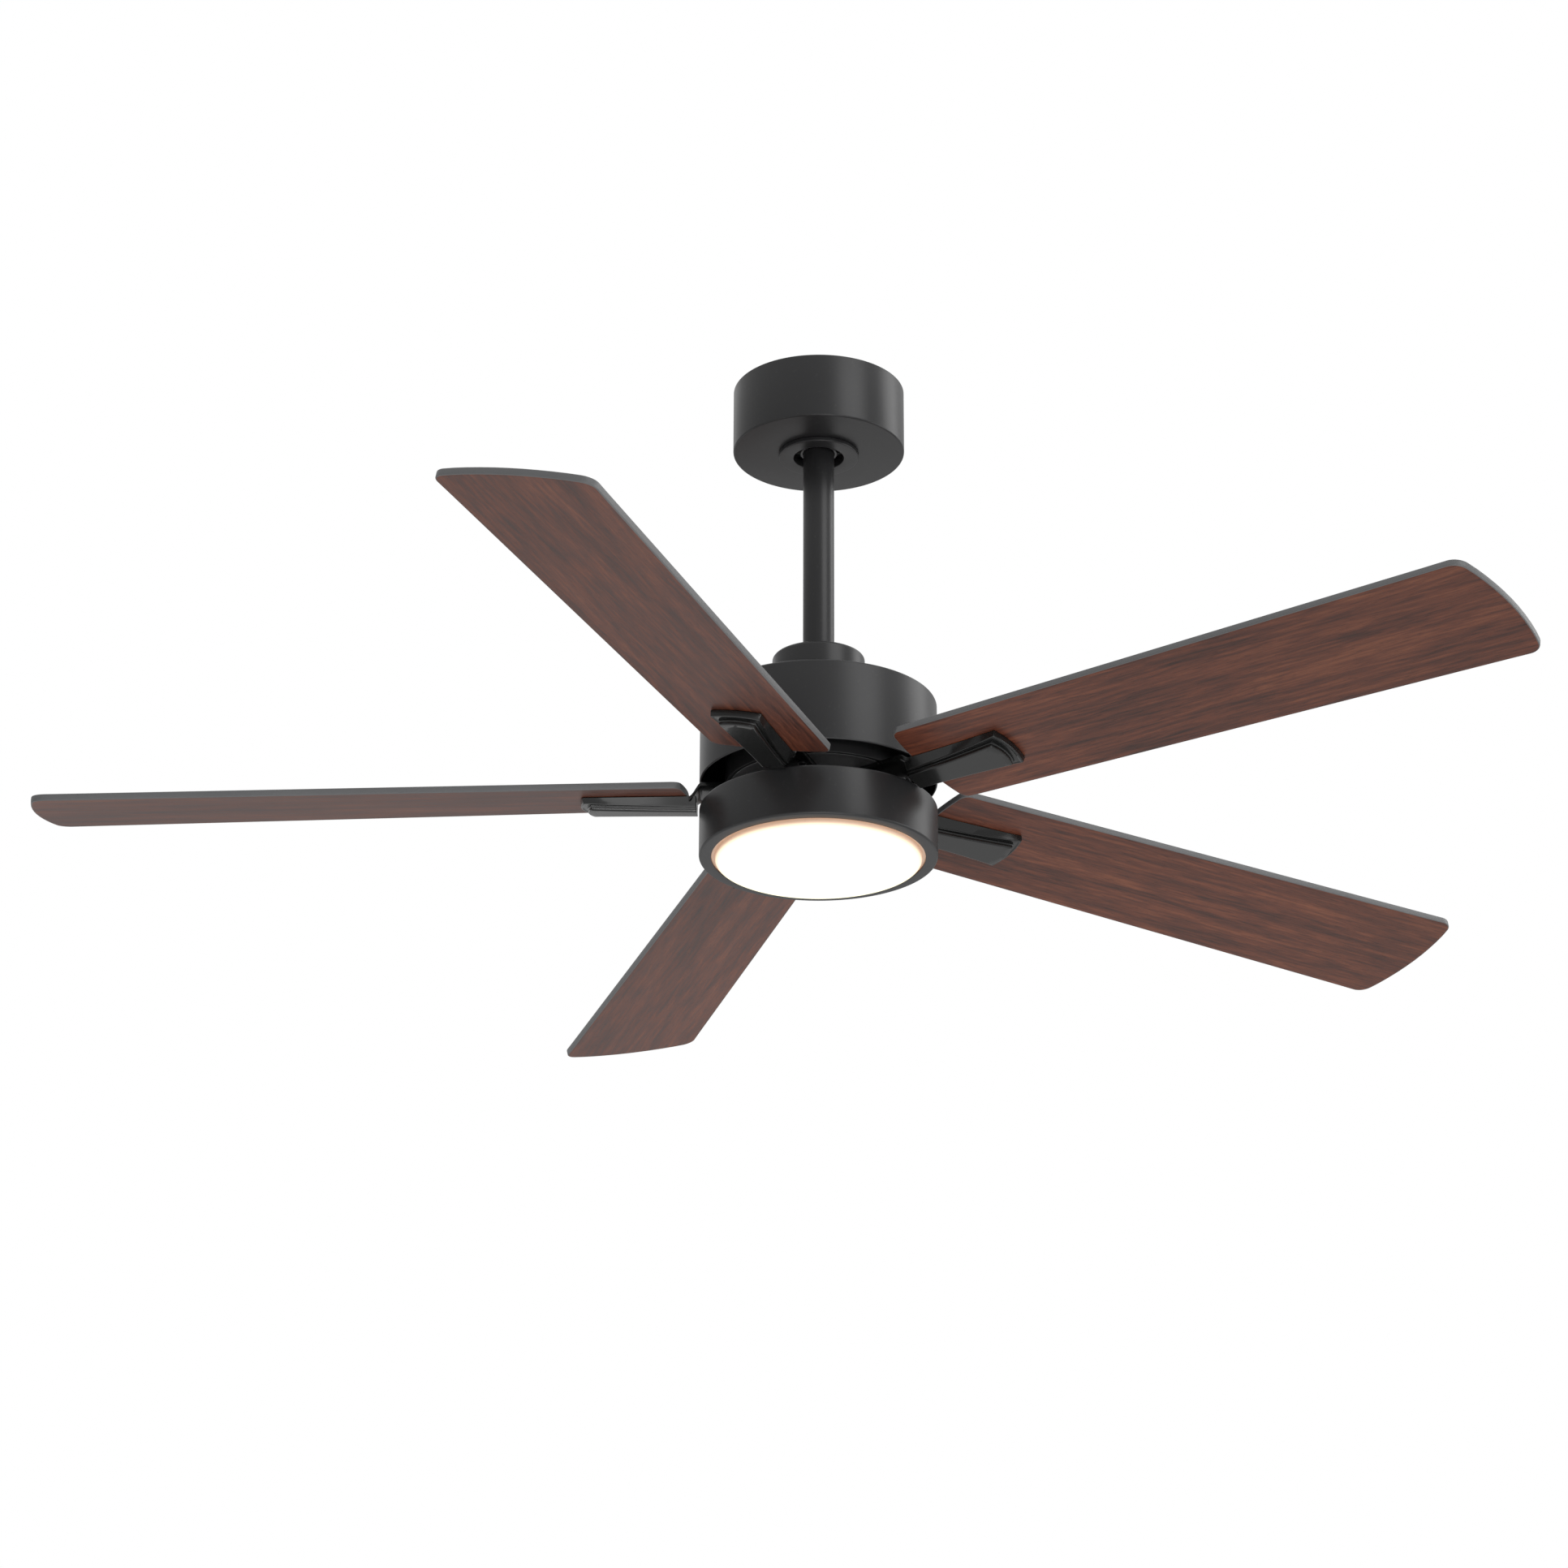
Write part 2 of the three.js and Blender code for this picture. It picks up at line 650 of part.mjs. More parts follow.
function blade() {
  const g = new THREE.ExtrudeGeometry(bladeOutline(),
    { depth: bladeThickness, bevelEnabled: false, curveSegments: 4 });
  const body = welded(g).translate(bladeRootRadius, 0, 0);
  const holes = bladeScrewPlaces().map(([u, v]) =>
    post(bladeScrewRadius + fitGap, -1, bladeThickness + 1).translate(u, v, 0));
  return cut(body, ...holes);
}

const smooth = (x) => THREE.MathUtils.smoothstep(x, 0, 1);

// Stations along the arm: how far out, how much of the bend is done on top and below, how thick at
// the sides and at the middle, and how far the side wall leans in and the panel stands in from it.
function armStations() {
  const blockRadius = Math.max(housingRadius, panRadius) + armBlockGap;
  const panelEnd = armOuterRadius - armStep;
  const bendStart = blockRadius - armBend.before;
  const bendEnd = blockRadius + armBend.after;
  const bend = (u) => smooth((u - bendStart) / (bendEnd - bendStart));
  const neck = (u) => ({ u, turn: bend(u), footTurn: bend(u), thick: armNeckThickness,
    panel: armNeckThickness, lean: 0, step: armStep });
  const block = (u, hasPanel = true) => {
    const out = (u - blockRadius) / (armOuterRadius - blockRadius);
    const thick = THREE.MathUtils.lerp(armHubStepThickness, armStepThickness, out);
    const panel = hasPanel ? THREE.MathUtils.lerp(armHubThickness, armThickness, out) : thick;
    return { u, turn: bend(u), footTurn: 1, thick, panel, lean: armWallLean * (1 - out),
      step: THREE.MathUtils.lerp(armHubStep, armStep, out) };
  };
  return [neck(armInnerRadius), neck(bendStart), neck((bendStart + blockRadius) / 2),
    neck(blockRadius), block(blockRadius + 0.5), block((blockRadius + bendEnd) / 2), block(bendEnd),
    block((bendEnd + panelEnd) / 2), block(panelEnd - 0.5), block(panelEnd, false),
    block(armOuterRadius, false)];
}

// The arm leaves the rotor as a level neck that drops and twists into the blade's plane. Past the
// housing's rim it is a thick block with leaning side walls, thickest at its hub end, whose
// underside steps down to a raised panel.
function bladeArm() {
  const stations = armStations();
  const alongSteps = stations.length - 1;
  const acrossSteps = 7;
  const body = new THREE.BoxGeometry(1, 1, 1, alongSteps, acrossSteps, 1);
  const hubTopZ = rotorFloorZ - fitGap;
  const position = body.attributes.position;
  const p = new THREE.Vector3();
  for (let i = 0; i < position.count; i += 1) {
    p.fromBufferAttribute(position, i);
    const station = stations[Math.round((p.x + 0.5) * alongSteps)];
    const widen = smooth((station.u - armInnerRadius) / (armOuterRadius - armInnerRadius));
    const top = p.z > 0;
    const halfWidth = THREE.MathUtils.lerp(armHubHalfWidth, armHalfWidth, widen);
    const edge = halfWidth - (top ? 0 : station.lean);
    const column = Math.round((p.y + 0.5) * acrossSteps) - acrossSteps / 2;
    const fromMiddle = [0.3, 1 - (station.step + 0.5) / edge, 1 - station.step / edge, 1];
    const across = Math.sign(column) * fromMiddle[Math.abs(column) - 0.5];
    const bulge = armEndBulge * across ** 2 * Math.max(0, 2 * p.x);
    const u = station.u - bulge;
    const v = across * edge;
    const h = top ? 0 : -(Math.abs(column) < 2 ? station.panel : station.thick);
    const turn = top ? station.turn : station.footTurn;
    const pitch = -bladePitch * degrees * turn;
    const bladeZ = bladeFloorZ - fitGap - u * Math.tan(bladeDroop * degrees);
    const topZ = THREE.MathUtils.lerp(hubTopZ, bladeZ, turn);
    position.setXYZ(i, u, v * Math.cos(pitch) - h * Math.sin(pitch),
      topZ + v * Math.sin(pitch) + h * Math.cos(pitch));
  }
  const holes = bladeScrewPlaces().map(([u, v]) =>
    inBladePlane(post(bladeScrewRadius + fitGap, -bladeScrewDepth - 1, 4).translate(u, v, 0)));
  return cut(welded(body), ...holes);
}

// Lays a shape made flat at z = 0 onto the blade's pitched and drooping plane.
function inBladePlane(geometry) {
  return geometry.rotateX(-bladePitch * degrees).rotateY(bladeDroop * degrees)
    .translate(0, 0, bladeFloorZ);
}

function bladeScrew(u, v) {
  const seat = bladeThickness + fitGap;
  return inBladePlane(screw(bladeScrewRadius, bladeScrewHead, seat + bladeScrewDepth)
    .translate(u, v, seat));
}

// ---- light ----

function lightAdapter() {
  const bossRadius = shaftHoleRadius + adapterBoss.wall;
  const top = adapterFloorZ + adapterThickness;
  const body = turned([
    [shaftHoleRadius, adapterFloorZ],
    [adapterRadius, adapterFloorZ],
    [adapterRadius, top],
    [bossRadius, top],
    [bossRadius, top + adapterBoss.height],
    [shaftHoleRadius, top + adapterBoss.height],
  ], midSides);
  return cut(body, ...lightScrewHoles(adapterFloorZ - 1, top + 1));
}

function lightScrewAngles() {
  return Array.from({ length: lightScrewCount }, (_, i) =>
    (-90 + (i * 360) / lightScrewCount) * degrees);
}

function lightScrewHoles(floorZ, topZ) {
  return lightScrewAngles().map((a) => post(lightScrewRadius + fitGap, floorZ, topZ)
    .translate(lightScrewCircle * Math.cos(a), lightScrewCircle * Math.sin(a), 0));
}

function lightScrew(angle) {
  const length = sheetWall + 2 * fitGap + adapterThickness;
  return screw(lightScrewRadius, lightScrewHead, length).rotateX(Math.PI)
    .translate(lightScrewCircle * Math.cos(angle), lightScrewCircle * Math.sin(angle),
      panTopZ - sheetWall - fitGap);
}

function lightPan() {
  const r = panRadius;
  const wall = sheetWall;
  const body = turned([
    [shaftHoleRadius, panTopZ],
    ...arc(r - panFillet, panTopZ - panFillet, panFillet, 90, 0),
    ...arc(r - panFillet, panFloorZ + panFillet, panFillet, 0, -90),
    [panLipRadius, panFloorZ],
    [panLipRadius, panFloorZ + wall],
    [r - wall, panFloorZ + wall],
    [r - wall, panTopZ - wall],
    [shaftHoleRadius, panTopZ - wall],
  ]);
  return cut(body, ...lightScrewHoles(panTopZ - wall - 1, panTopZ + 1));
}

function ledDriver() {
  const { width, depth, height } = driverSize;
  return block(width, depth, height, 0, lightScrewCircle + depth / 2,
    panTopZ - sheetWall - fitGap - height / 2);
}

// The round board hangs from the pan's top on three posts.
function ledBoard() {
  const disc = post(boardRadius, boardTopZ - boardThickness, boardTopZ, roundSides);
  const circle = boardRadius - boardPost.inset;
  const posts = lightScrewAngles().map((a) =>
    post(boardPost.radius, boardTopZ - boardThickness, panTopZ - sheetWall - fitGap)
      .translate(circle * Math.cos(a), circle * Math.sin(a), 0));
  return joined(disc, ...posts);
}

// A shallow frosted dish whose flange rests on the pan's lip.
function lens() {
  const r = lensRadius;
  const wall = lensWall;
  const top = lensFlangeZ + lensFlangeThickness;
  return turned([
    [0, lensFloorZ],
    ...arc(r - lensFillet, lensFloorZ + lensFillet, lensFillet, -90, 0),
    [r, lensFlangeZ],
    [r + lensFlange, lensFlangeZ],
    [r + lensFlange, top],
    [r - wall, top],
    ...arc(r - lensFillet, lensFloorZ + lensFillet, lensFillet - wall, 0, -90),
    [0, lensFloorZ + wall],
  ]);
}

// ---- assembly ----

const fan = new THREE.Group();

function addCeilingSide() {
  fan.add(piece("ceiling_bracket", ceilingBracket(), bracketSteel()));
  fan.add(piece("canopy", canopy(), blackPaint()));
  fan.add(piece("canopy_screw_1", canopyScrew(-1), brightSteel()));
  fan.add(piece("canopy_screw_2", canopyScrew(1), brightSteel()));
  fan.add(piece("canopy_ring", canopyRing(), blackPaint()));
  fan.add(piece("receiver", receiver(), blackPlastic()));
}

function addHangerAndRod() {
  fan.add(piece("hanger_ball", hangerBall(), blackPlastic()));
  fan.add(piece("hanger_pin", hangerPin(), brightSteel()));
  fan.add(piece("registration_pin", registrationPin(), brightSteel()));
  fan.add(piece("downrod", downrod(), blackPaint()));
  fan.add(piece("motor_lead", motorLead(), blackPlastic()));
  fan.add(piece("coupling_cover", couplingCover(), blackPaint()));
  fan.add(piece("motor_yoke", motorYoke(), castAlloy()));
  fan.add(piece("clevis_pin", clevisPin(), brightSteel()));
  fan.add(piece("hairpin_clip", hairpinClip(), brightSteel()));
  fan.add(piece("yoke_set_screw_1", yokeSetScrew(-1), brightSteel()));
  fan.add(piece("yoke_set_screw_2", yokeSetScrew(1), brightSteel()));
}

function addMotor() {
  fan.add(piece("motor_housing", motorHousing(), blackPaint()));
  fan.add(piece("motor_shaft", motorShaft(), brightSteel()));
  fan.add(piece("stator_core", statorCore(), castAlloy()));
  fan.add(piece("stator_winding", statorWinding(), copper()));
  fan.add(piece("upper_bearing", bearing(upperBearingZ), brightSteel()));
  fan.add(piece("lower_bearing", bearing(lowerBearingZ), brightSteel()));
  fan.add(piece("rotor_shell", rotorShell(), blackPaint()));
  fan.add(piece("rotor_end_cap", rotorEndCap(), castAlloy()));
  fan.add(piece("magnet_ring", magnetRing(), ferrite()));
}

function addBlades() {
  for (let i = 0; i < bladeCount; i += 1) {
    const arm = new THREE.Group();
    arm.rotation.z = (bladeStart + (i * 360) / bladeCount) * degrees;
    arm.add(piece(`blade_arm_${i + 1}`, bladeArm(), blackPaint()));
    arm.add(piece(`blade_${i + 1}`, inBladePlane(blade()), walnut()));
    bladeScrewPlaces().forEach(([u, v], j) => {
      arm.add(piece(`blade_screw_${i + 1}_${j + 1}`, bladeScrew(u, v), brightSteel()));
    });
    fan.add(arm);
  }
}

function addLight() {
  fan.add(piece("light_adapter", lightAdapter(), castAlloy()));
  fan.add(piece("light_pan", lightPan(), blackPaint()));
  lightScrewAngles().forEach((angle, i) => {
    fan.add(piece(`light_screw_${i + 1}`, lightScrew(angle), brightSteel()));
  });
  fan.add(piece("led_driver", ledDriver(), blackPlastic()));
  fan.add(piece("led_board", ledBoard(), boardWhite()));
  fan.add(piece("lens", lens(), frosted()));
}

addCeilingSide();
addHangerAndRod();
addMotor();
addBlades();
addLight();

export default fan;
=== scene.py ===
import math

import bmesh
import bpy
import numpy as np
from mathutils import Matrix, Vector


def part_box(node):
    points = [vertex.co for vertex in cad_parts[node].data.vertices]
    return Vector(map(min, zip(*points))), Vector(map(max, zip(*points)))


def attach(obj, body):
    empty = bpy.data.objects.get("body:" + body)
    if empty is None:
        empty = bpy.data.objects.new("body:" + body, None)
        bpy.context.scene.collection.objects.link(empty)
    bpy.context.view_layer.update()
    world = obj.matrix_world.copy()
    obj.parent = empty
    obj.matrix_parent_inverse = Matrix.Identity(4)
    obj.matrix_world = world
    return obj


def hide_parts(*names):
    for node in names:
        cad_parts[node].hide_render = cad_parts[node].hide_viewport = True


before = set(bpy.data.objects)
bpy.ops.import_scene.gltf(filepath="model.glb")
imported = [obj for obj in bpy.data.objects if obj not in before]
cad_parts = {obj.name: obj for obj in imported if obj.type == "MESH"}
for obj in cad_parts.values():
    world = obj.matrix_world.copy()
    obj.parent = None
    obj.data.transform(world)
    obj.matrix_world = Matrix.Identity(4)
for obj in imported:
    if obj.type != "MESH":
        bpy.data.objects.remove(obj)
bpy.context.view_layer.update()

# ---------------------------------------------------------------------------
# The view. The fan is seen from below and in front through a long lens, as it
# looks to somebody standing well back under a high ceiling.

VIEW_PLACE = Vector((-0.0085, -3.4597, -1.8042))
VIEW_PITCH, VIEW_YAW, VIEW_ROLL = math.radians(22.544), math.radians(0.339), math.radians(-0.218)

lens = bpy.data.cameras.new("view")
lens.lens, lens.sensor_width = 102.4, 36.0
lens.clip_start, lens.clip_end = 0.05, 100.0
view = bpy.data.objects.new("view", lens)
bpy.context.scene.collection.objects.link(view)
view.matrix_world = (
    Matrix.Translation(VIEW_PLACE)
    @ Matrix.Rotation(VIEW_YAW, 4, "Z")
    @ Matrix.Rotation(VIEW_PITCH, 4, "X")
    @ Matrix.Rotation(VIEW_ROLL, 4, "Y")
    @ Matrix.Rotation(math.radians(90), 4, "X")
)
bpy.context.scene.camera = view
bpy.context.scene.view_settings.view_transform = "Standard"

# ---------------------------------------------------------------------------
# The studio. A plain pale floor far below, a white surround that is greyer in
# what the fan reflects, softboxes on the left, the right, the front right and
# below, one low on the right and a narrow strip in front.

FLOOR_DEPTH, FLOOR_SIZE = 6.5, 60.0


def node(tree, kind, place=(0, 0), **settings):
    """Adds a node; settings whose names are inputs fill them, and the rest are its properties."""
    made = tree.nodes.new(kind)
    made.location = place
    for key, value in settings.items():
        if key in made.inputs:
            made.inputs[key].default_value = value
        else:
            setattr(made, key, value)
    return made


def ramp(tree, stops, source=None, interpolation="LINEAR"):
    """A colour ramp through (position, colour) stops, fed by source. A number stands for a grey."""
    made = node(tree, "ShaderNodeValToRGB")
    made.color_ramp.interpolation = interpolation
    elements = made.color_ramp.elements
    while len(elements) < len(stops):
        elements.new(0.5)
    for element, (position, colour) in zip(elements, stops):
        element.position = position
        element.color = (*colour, 1.0) if isinstance(colour, tuple) else (colour,) * 3 + (1.0,)
    if source is not None:
        tree.links.new(source, made.inputs["Fac"])
    return made


def studio_floor():
    """A square of pale plaster, flat at the floor's depth."""
    half = FLOOR_SIZE / 2
    corners = [(-half, -half, -FLOOR_DEPTH), (half, -half, -FLOOR_DEPTH),
               (half, half, -FLOOR_DEPTH), (-half, half, -FLOOR_DEPTH)]
    mesh = bpy.data.meshes.new("studio_floor")
    mesh.from_pydata(corners, [], [(0, 1, 2, 3)])
    floor = bpy.data.objects.new("studio_floor", mesh)
    bpy.context.scene.collection.objects.link(floor)
    plaster = bpy.data.materials.new("floor_plaster")
    plaster.use_nodes = True
    tree = plaster.node_tree
    shader = tree.nodes["Principled BSDF"]
    shader.inputs["Roughness"].default_value = 0.9
    mottle = node(tree, "ShaderNodeTexNoise", Scale=0.6)
    shade = ramp(tree, [(0.3, 0.82), (0.7, 0.86)], mottle.outputs["Fac"])
    tree.links.new(shade.outputs["Color"], shader.inputs["Base Color"])
    mesh.materials.append(plaster)


def surround():
    """White to the eye; to reflections, a vault that is pale above and grey around and below."""
    world = bpy.data.worlds.new("surround")
    world.use_nodes = True
    bpy.context.scene.world = world
    tree = world.node_tree
    tree.nodes.clear()
    out = node(tree, "ShaderNodeOutputWorld")
    seen, cast = node(tree, "ShaderNodeBackground"), node(tree, "ShaderNodeBackground")
    seen.inputs["Color"].default_value = (1.0, 1.0, 1.0, 1.0)
    direction = node(tree, "ShaderNodeTexCoord")
    split = node(tree, "ShaderNodeSeparateXYZ")
    height = node(tree, "ShaderNodeMapRange")
    height.inputs["From Min"].default_value = -1.0
    grey = ramp(tree, [(0.0, 0.34), (0.25, 0.34), (0.48, 0.38), (0.62, 0.4), (0.8, 0.7), (1.0, 0.95)])
    path, mix = node(tree, "ShaderNodeLightPath"), node(tree, "ShaderNodeMixShader")
    tree.links.new(direction.outputs["Generated"], split.inputs["Vector"])
    tree.links.new(split.outputs["Z"], height.inputs["Value"])
    tree.links.new(height.outputs["Result"], grey.inputs["Fac"])
    tree.links.new(grey.outputs["Color"], cast.inputs["Color"])
    tree.links.new(path.outputs["Is Camera Ray"], mix.inputs["Fac"])
    tree.links.new(cast.outputs["Background"], mix.inputs[1])
    tree.links.new(seen.outputs["Background"], mix.inputs[2])
    tree.links.new(mix.outputs["Shader"], out.inputs["Surface"])


def softbox(name, bearing, height, distance, width, tall, power):
    """A rectangle of light aimed at the motor: bearing in degrees to the right of the viewer."""
    target = Vector((0.0, 0.0, -0.34))
    turn, rise = math.radians(bearing), math.radians(height)
    away = Vector((math.sin(turn) * math.cos(rise), -math.cos(turn) * math.cos(rise), math.sin(rise)))
    light = bpy.data.lights.new(name, "AREA")
    light.shape, light.size, light.size_y, light.energy = "RECTANGLE", width, tall, power
    lamp = bpy.data.objects.new(name, light)
    bpy.context.scene.collection.objects.link(lamp)
    lamp.location = target + away * distance
    lamp.rotation_mode = "QUATERNION"
    lamp.rotation_quaternion = away.to_track_quat("Z", "Y")
    lamp.visible_camera = False


studio_floor()
surround()
softbox("right_box", 112, 22, 4.0, 1.8, 3.0, 30)
softbox("right_front_box", 44, 26, 4.0, 2.2, 2.6, 34)
softbox("left_box", -150, 20, 4.0, 1.4, 3.0, 4)
softbox("under_box", 10, -62, 4.5, 3.0, 3.0, 40)
softbox("low_box", 88, -3, 4.0, 2.4, 0.9, 24)
softbox("edge_strip", 20, -14, 4.6, 4.5, 0.3, 30)

# ---------------------------------------------------------------------------
# Canopy and its trim ring. The canopy is a drawn steel drum against the ceiling, open above and
# powder coated satin black; the ring is a small pressed cup that snaps into its hole from below
# and hides the heads of the two screws that hold the canopy up.

CANOPY_WALL, CANOPY_EDGE = 0.0012, 0.0016
RING_EDGE = 0.001
ENAMEL_BLACK = (0.0165, 0.0165, 0.0175)


def rounded(corners, steps=6):
    """Walks a closed outline of (r, z, fillet) corners. A fillet turns its corner into an arc that
    touches both sides: its centre lies on the bisector, fillet / sin(half the corner) away."""
    points, count = [], len(corners)
    for i, (r, z, fillet) in enumerate(corners):
        here = np.array((r, z), float)
        if not fillet:
            points.append(here[None])
            continue
        back = np.array(corners[i - 1][:2]) - here
        ahead = np.array(corners[(i + 1) % count][:2]) - here
        back, ahead = back / np.linalg.norm(back), ahead / np.linalg.norm(ahead)
        half = math.acos(np.clip(back @ ahead, -1, 1)) / 2
        centre = here + (back + ahead) / np.linalg.norm(back + ahead) * fillet / math.sin(half)
        start, end = (here + way * fillet / math.tan(half) - centre for way in (back, ahead))
        first = math.atan2(start[1], start[0])
        turn = (math.atan2(end[1], end[0]) - first + math.pi) % (2 * math.pi) - math.pi
        angle = first + turn * np.linspace(0, 1, steps + 1)
        points.append(centre + fillet * np.stack([np.cos(angle), np.sin(angle)], 1))
    return np.concatenate(points)


def quads(grid, close_rows=True, close_columns=True):
    """A grid of points (rows, columns, 3) as points and faces; each face is (i, j), (i + 1, j),
    (i + 1, j + 1), (i, j + 1), and rows or columns may close on themselves."""
    rows, columns = grid.shape[:2]
    i, j = np.meshgrid(np.arange(rows if close_rows else rows - 1),
                       np.arange(columns if close_columns else columns - 1), indexing="ij")
    i, j = i.ravel(), j.ravel()
    down, right = (i + 1) % rows, (j + 1) % columns
    faces = np.stack([i * columns + j, down * columns + j, down * columns + right, i * columns + right], 1)
    return grid.reshape(-1, 3), faces


def revolved(outline, around=144):
    """A closed anticlockwise outline of (r, z) turned about the axis: (r cos a, r sin a, z)."""
    outline = np.asarray(outline, float)
    angle = np.linspace(0, 2 * math.pi, around, endpoint=False)[:, None]
    r, z = outline[None, :, 0], outline[None, :, 1]
    return quads(np.stack([r * np.cos(angle), r * np.sin(angle), z + 0 * angle], -1))


def moved(shell, matrix):
    """A shell of points and faces, its points carried by a matrix."""
    points, faces = shell
    turn = np.array(matrix)
    return points @ turn[:3, :3].T + turn[:3, 3], faces


def skinned(name, *shells, crease=35, outward=False, uv=None, groups=None):
    """One mesh object from shells of points and faces. Points that meet are merged and collapsed
    faces dropped; edges sharper than the crease stay sharp."""
    points = np.concatenate([shell[0] for shell in shells])
    starts = np.cumsum([0] + [len(shell[0]) for shell in shells])
    faces = [face for shell, start in zip(shells, starts) for face in (shell[1] + start).tolist()]
    mesh = bpy.data.meshes.new(name)
    mesh.from_pydata(points.tolist(), [], faces)
    if uv is not None:
        corner = np.empty(len(mesh.loops), int)
        mesh.loops.foreach_get("vertex_index", corner)
        mesh.uv_layers.new(name="grain").data.foreach_set("uv", uv[corner].ravel())
    if groups is not None:
        mesh.polygons.foreach_set("material_index", groups)
    shape = bmesh.new()
    shape.from_mesh(mesh)
    bmesh.ops.remove_doubles(shape, verts=shape.verts, dist=2e-6)
    bmesh.ops.dissolve_degenerate(shape, edges=shape.edges, dist=1e-6)
    if outward:
        bmesh.ops.recalc_face_normals(shape, faces=shape.faces)
    shape.to_mesh(mesh)
    shape.free()
    mesh.shade_smooth()
    mesh.set_sharp_from_angle(angle=math.radians(crease))
    made = bpy.data.objects.new(name, mesh)
    bpy.context.scene.collection.objects.link(made)
    return made


def effect(name, inputs):
    """Starts a shared shader effect that gives Color, Roughness and Height from a Vector and inputs."""
    group = bpy.data.node_groups.new(name, "ShaderNodeTree")
    group.interface.new_socket("Vector", in_out="INPUT", socket_type="NodeSocketVector")
    for label, value in inputs.items():
        kind = "NodeSocketColor" if isinstance(value, tuple) else "NodeSocketFloat"
        socket = group.interface.new_socket(label, in_out="INPUT", socket_type=kind)
        socket.default_value = (*value, 1.0) if isinstance(value, tuple) else value
    for label, kind in (("Color", "Color"), ("Roughness", "Float"), ("Height", "Float")):
        group.interface.new_socket(label, in_out="OUTPUT", socket_type="NodeSocket" + kind)
    return group, node(group, "NodeGroupInput", (-900, 0)), node(group, "NodeGroupOutput", (700, 0))


def math_node(tree, operation, first, second):
    """A Math node whose two values are sockets or numbers."""
    made = node(tree, "ShaderNodeMath", operation=operation)
    for i, value in enumerate((first, second)):
        if isinstance(value, (int, float)):
            made.inputs[i].default_value = value
        else:
            tree.links.new(value, made.inputs[i])
    return made.outputs[0]


def shaded(tree, colour, amount, low, high):
    """A colour times a value that runs from low to high with the amount."""
    level = node(tree, "ShaderNodeMapRange")
    level.inputs["To Min"].default_value, level.inputs["To Max"].default_value = low, high
    tree.links.new(amount, level.inputs["Value"])
    mixed = node(tree, "ShaderNodeVectorMath", operation="SCALE")
    tree.links.new(colour, mixed.inputs[0])
    tree.links.new(level.outputs["Result"], mixed.inputs["Scale"])
    return mixed.outputs["Vector"]


def coat_effect():
    """Sprayed or moulded skin: fine peel for relief, broad mottling of gloss, and faint dust."""
    group, given, gives = effect("coat_skin", {"Tone": (0.02, 0.02, 0.02), "Gloss": 0.35, "Peel": 900.0})
    peel, mottle, dust = (node(group, "ShaderNodeTexNoise", Detail=detail) for detail in (2.0, 3.0, 6.0))
    mottle.inputs["Scale"].default_value, dust.inputs["Scale"].default_value = 14.0, 260.0
    group.links.new(given.outputs["Peel"], peel.inputs["Scale"])
    for texture in (peel, mottle, dust):
        group.links.new(given.outputs["Vector"], texture.inputs["Vector"])
    specks = ramp(group, [(0.62, 0.0), (0.75, 1.0)], dust.outputs["Fac"])
    tone = shaded(group, given.outputs["Tone"], mottle.outputs["Fac"], 0.85, 1.15)
    dusty = node(group, "ShaderNodeMix", data_type="RGBA")
    group.links.new(math_node(group, "MULTIPLY", specks.outputs["Color"], 0.12), dusty.inputs["Factor"])
    group.links.new(tone, dusty.inputs[6])
    dusty.inputs[7].default_value = (0.09, 0.088, 0.084, 1.0)
    group.links.new(dusty.outputs[2], gives.inputs["Color"])
    swing = math_node(group, "MULTIPLY_ADD", mottle.outputs["Fac"], 0.1)
    group.links.new(given.outputs["Gloss"], swing.node.inputs[2])
    group.links.new(swing, gives.inputs["Roughness"])
    group.links.new(peel.outputs["Fac"], gives.inputs["Height"])
    return group


def finished(name, group, values, relief=0.05, depth=0.0004, **shader_values):
    """A material whose colour, gloss and relief come from an effect on the piece's own coordinates;
    the shader's other values are set on its own sockets."""
    made = bpy.data.materials.new(name)
    made.use_nodes = True
    tree = made.node_tree
    shader = tree.nodes["Principled BSDF"]
    for key, value in shader_values.items():
        shader.inputs[key.replace("_", " ")].default_value = value
    skin, where, bump = (node(tree, "ShaderNodeGroup"), node(tree, "ShaderNodeTexCoord"),
                         node(tree, "ShaderNodeBump"))
    skin.node_tree = group
    for key, value in values.items():
        skin.inputs[key].default_value = (*value, 1.0) if isinstance(value, tuple) else value
    bump.inputs["Strength"].default_value, bump.inputs["Distance"].default_value = relief, depth
    tree.links.new(where.outputs["Object"], skin.inputs["Vector"])
    tree.links.new(skin.outputs["Color"], shader.inputs["Base Color"])
    tree.links.new(skin.outputs["Roughness"], shader.inputs["Roughness"])
    tree.links.new(skin.outputs["Height"], bump.inputs["Height"])
    tree.links.new(bump.outputs["Normal"], shader.inputs["Normal"])
    return made


coat_skin = coat_effect()
black_enamel = finished("black_enamel", coat_skin, {"Tone": ENAMEL_BLACK, "Gloss": 0.3, "Peel": 1100.0})

low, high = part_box("canopy")
ring_low, ring_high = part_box("canopy_ring")
wall, hole = CANOPY_WALL, ring_high.y - 0.0105
canopy = skinned("canopy_shell", revolved(rounded([
    (high.y, low.z, CANOPY_EDGE), (high.y, high.z, 0.0004), (high.y - wall, high.z, 0.0004),
    (high.y - wall, low.z + wall, 0.0006), (hole, low.z + wall, 0), (hole, low.z, 0)]), 180))
canopy.data.materials.append(black_enamel)
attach(canopy, "ceiling_side")
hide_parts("canopy")

